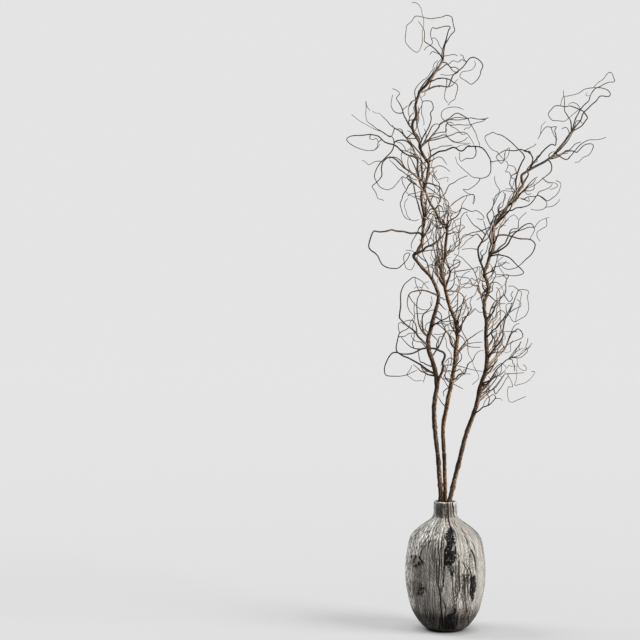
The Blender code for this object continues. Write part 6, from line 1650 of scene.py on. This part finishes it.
def vase_finish():
    """Open-grained wood under a thin grey wash: pale fibres, dark pores, black grain and ink stains."""
    material, nodes, shader = new_finish("Whitewashed wood")
    place = nodes.add("ShaderNodeTexCoord", output="Object")
    height = nodes.axis(place, "Z")
    flat = nodes.vector(nodes.axis(place, "X"), nodes.axis(place, "Y"))
    spoke = nodes.add("ShaderNodeVectorMath", {0: flat}, operation="NORMALIZE")
    spoke_x, spoke_y = nodes.axis(spoke, "X"), nodes.axis(spoke, "Y")

    def wrapped(across, up, detail=3.0, rough=0.6):
        """Noise that follows the wood round the vase: so many across, so many up a metre."""
        vector = nodes.vector(nodes.times(spoke_x, across), nodes.times(spoke_y, across),
                              nodes.times(height, up))
        return nodes.noise_at(vector, 1.0, detail, rough)

    groove, line, stain = (nodes.attribute(name) for name in ("groove", "line", "stain"))
    brown, wash_and_glints, smooth = (nodes.attribute(name) for name in ("brown", "wash_and_glints", "smooth"))
    clouds = nodes.noise_at(place, 16.0, 3.0, 0.6)
    streaks = wrapped(9.0, 8.0)
    fibres = wrapped(44.0, 46.0, 4.0, 0.7)
    cords = wrapped(54.0, 12.0, 2.0, 0.55)
    scales = wrapped(38.0, 105.0, 2.0, 0.6)
    flecks = nodes.noise_at(place, 1.0, 3.0, 0.7, (640.0, 640.0, 330.0))
    blots = nodes.noise_at(place, 1.0, 3.0, 0.6, (260.0, 260.0, 190.0))
    # Bands of grain wherever a slow noise passes a whole number, and the places where they show
    bands = nodes.plus(nodes.times(wrapped(1.9, 7.5, 1.0, 0.4), 30.0),
                       nodes.times(wrapped(16.0, 30.0, 2.0, 0.5), 1.3))
    bands = nodes.times(nodes.maths("PINGPONG", bands, 0.5), 2.0)
    figure = nodes.times(nodes.colour_ramp(bands, (0.0, 1.0), (0.22, 0.75), (0.42, 0.0)),
                         nodes.colour_ramp(wrapped(4.0, 12.0, 2.0, 0.5), (0.40, 0.15), (0.58, 1.0)))

    wash = nodes.colour_ramp(clouds, (0.30, 0.235, 0.221, 0.203), (0.50, 0.325, 0.310, 0.288),
                             (0.70, 0.420, 0.403, 0.378))
    # Smooth places: an even wash and less dark texture below, partly for the smooth wood and partly painted
    # light on the key's side
    wash = nodes.blend(nodes.times(smooth, 0.75), wash, (0.290, 0.280, 0.265))
    # Darker towards the bottom: below 40 to 72 mm the wash gives way to a dark streaked brown
    low = nodes.colour_ramp(height, (0.040, 1.0), (0.072, 0.0))
    darker_low_band = nodes.colour_ramp(streaks, (0.35, 0.022, 0.018, 0.014), (0.65, 0.070, 0.058, 0.047))
    colour = nodes.blend(nodes.times(low, 0.92), wash, darker_low_band)
    even = nodes.minus(0.85, nodes.times(smooth, 0.6))
    # Each noise darkens or lightens the wash: (share, noise, ramp's stops)
    for share, value, *stops in (
            (0.8, streaks, (0.32, 0.60, 0.58, 0.56), (0.58, 1.12, 1.12, 1.11)),
            (even, fibres, (0.38, 0.15, 0.14, 0.13), (0.50, 0.92, 0.91, 0.90), (0.62, 1.75, 1.75, 1.74)),
            (even, blots, (0.36, 0.62, 0.60, 0.58), (0.50, 1.0), (0.64, 1.22, 1.22, 1.21)),
            (nodes.times(even, 0.8), flecks, (0.38, 0.30, 0.29, 0.28), (0.50, 1.0), (0.62, 1.5, 1.5, 1.49)),
            (even, figure, (0.0, 1.0), (1.0, 0.14, 0.12, 0.11)),
            (even, cords, (0.38, 0.10, 0.09, 0.085), (0.45, 0.88, 0.88, 0.87), (0.60, 1.50, 1.50, 1.49))):
        colour = nodes.shaded(share, colour, nodes.colour_ramp(value, *stops))
    # Painted highlight: in the listed places pale wash on the ridges stands for glints, with dark dashes
    # between them
    painted_glints = nodes.colour_ramp(scales, (0.50, 0.0), (0.58, 1.0))
    colour = nodes.blend(nodes.times(wash_and_glints, painted_glints), colour, (0.80, 0.79, 0.76))
    rubbed = nodes.colour_ramp(scales, (0.38, 1.0), (0.46, 0.0))
    colour = nodes.blend(nodes.times(wash_and_glints, rubbed), colour, (0.035, 0.029, 0.024))
    colour = nodes.shaded(0.8, colour, nodes.colour_ramp(groove, (0.25, 1.0), (0.85, 0.38, 0.35, 0.33)))
    colour = nodes.blend(nodes.times(brown, 0.9), colour, (0.040, 0.029, 0.018))
    mottled = nodes.plus(stain, nodes.times(nodes.minus(blots, 0.5), 4.2))
    mottled = nodes.colour_ramp(mottled, (0.25, 0.0), (0.55, 1.0))
    mottled = nodes.times(mottled, nodes.times(stain, 3.0, clamp=True))
    ink = nodes.colour_ramp(fibres, (0.50, 0.001), (0.66, 0.038, 0.038, 0.039))
    colour = nodes.blend(nodes.times(mottled, 0.99), colour, ink)
    colour = nodes.blend(nodes.times(line, 1.1, clamp=True), colour, (0.004, 0.003, 0.003))
    # Painted shade: the bottom few millimetres darkened nearly to black, as contact shade where the vase
    # meets the floor
    painted_foot_shade = nodes.colour_ramp(height, (0.0015, 0.06, 0.055, 0.05), (0.009, 1.0))
    colour = nodes.shaded(1.0, colour, painted_foot_shade)
    # Painted shade: the inside is given a near-black brown, as the shade in the vase's mouth
    colour = nodes.blend(nodes.attribute("outside"), (0.045, 0.036, 0.028), colour)
    gloss = nodes.colour_ramp(flecks, (0.38, 0.70), (0.62, 0.34))
    inked = nodes.times(nodes.maths("MAXIMUM", stain, line), 0.5)
    relief = nodes.minus(fibres, nodes.times(figure, 0.35))
    nodes.feed(colour, shader["Base Color"])
    nodes.feed(nodes.plus(gloss, inked, clamp=True), shader["Roughness"])
    nodes.feed(nodes.bumped([(0.75, 0.0012, relief), (0.6, 0.0008, flecks)]), shader["Normal"])
    shader["Specular IOR Level"].default_value = 0.12
    return material


def floor_finish():
    """Pale paper, a little paler far off, that glows softly so that shadows on it stay light, with a
    painted contact shadow round the vase.
    """
    material, nodes, shader = new_finish("Pale studio paper")
    place = nodes.add("ShaderNodeTexCoord", output="Object")
    away = nodes.add("ShaderNodeVectorMath", {0: place}, output="Value", operation="LENGTH")
    share = nodes.maths("DIVIDE", away, nodes.plus(away, FLOOR_REACH))
    glow = nodes.plus(nodes.times(share, FLOOR_RISE), FLOOR_GLOW)
    # Painted shadow: the glow fades to nothing near the middle, where the vase stands, as a contact shadow
    # round its foot
    near = nodes.colour_ramp(away, (0.042, 0.0), (0.056, 0.45), (0.085, 0.90), (0.130, 1.0))
    nodes.feed(nodes.times(glow, near), shader["Emission Strength"])
    for name, value in (("Base Color", (*FLOOR_SHADE, 1.0)), ("Roughness", 1.0),
                        ("Specular IOR Level", 0.0), ("Emission Color", (1.0, 1.0, 1.0, 1.0))):
        shader[name].default_value = value
    return material


def sunlight(name, across, up, strength, softness, colour):
    """A broad distant light from an angle round from the front, and an angle up from the floor."""
    lamp = bpy.data.lights.new(name, "SUN")
    lamp.energy = strength
    lamp.angle = math.radians(softness)
    lamp.color = colour
    across, up = math.radians(across), math.radians(up)
    towards = Vector((math.sin(across) * math.cos(up), -math.cos(across) * math.cos(up), math.sin(up)))
    item = placed(name, lamp)
    item.location = towards * LIGHT_DISTANCE
    item.rotation_mode = "QUATERNION"
    item.rotation_quaternion = towards.to_track_quat("Z", "Y")


def studio():
    """A plain pale floor that runs into a pale surround, a key from the front right and a rim light."""
    mesh = bpy.data.meshes.new("studio_floor")
    half = FLOOR_SIZE / 2
    corners = [(x * half, y * half, FLOOR_LEVEL) for x, y in ((-1, -1), (1, -1), (1, 1), (-1, 1))]
    mesh.from_pydata(corners, [], [(0, 1, 2, 3)])
    mesh.materials.append(floor_finish())
    floor = placed("studio_floor", mesh)

    world = bpy.data.worlds.new("Studio")
    bpy.context.scene.world = world
    world.use_nodes = True
    nodes = Nodes(world.node_tree)
    sky = world.node_tree.nodes["Background"].inputs
    sky["Color"].default_value = (1.0, 1.0, 1.0, 1.0)
    seen_directly = nodes.add("ShaderNodeLightPath", output="Is Camera Ray")
    nodes.feed(nodes.plus(nodes.times(seen_directly, BACKDROP - FILL), FILL), sky["Strength"])
    for light in LIGHTS:
        sunlight(*light)


def camera():
    """From the place that the routes are given from, level, looking along +Y."""
    lens = bpy.data.cameras.new("Camera")
    lens.lens = 80.0
    lens.sensor_width = 36.0
    lens.clip_end = 60.0
    item = placed("Camera", lens)
    item.location = EYE * MM
    item.rotation_euler = (math.pi / 2, 0.0, 0.0)
    bpy.context.scene.camera = item
    bpy.context.scene.view_settings.view_transform = "Standard"


def main():
    camera()
    studio()
    vase = vase_piece(vase_finish())
    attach(vase, "root")
    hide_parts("vase")
    tree = bark_tree()
    bark = bark_finish()
    branches = grow_branches()
    sheltered = shelter(branches)
    for branch, sticks in branches.items():
        piece = branch_piece(branch, sticks, tree, bark, sheltered)
        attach(piece, "root")
        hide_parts(branch)


main()
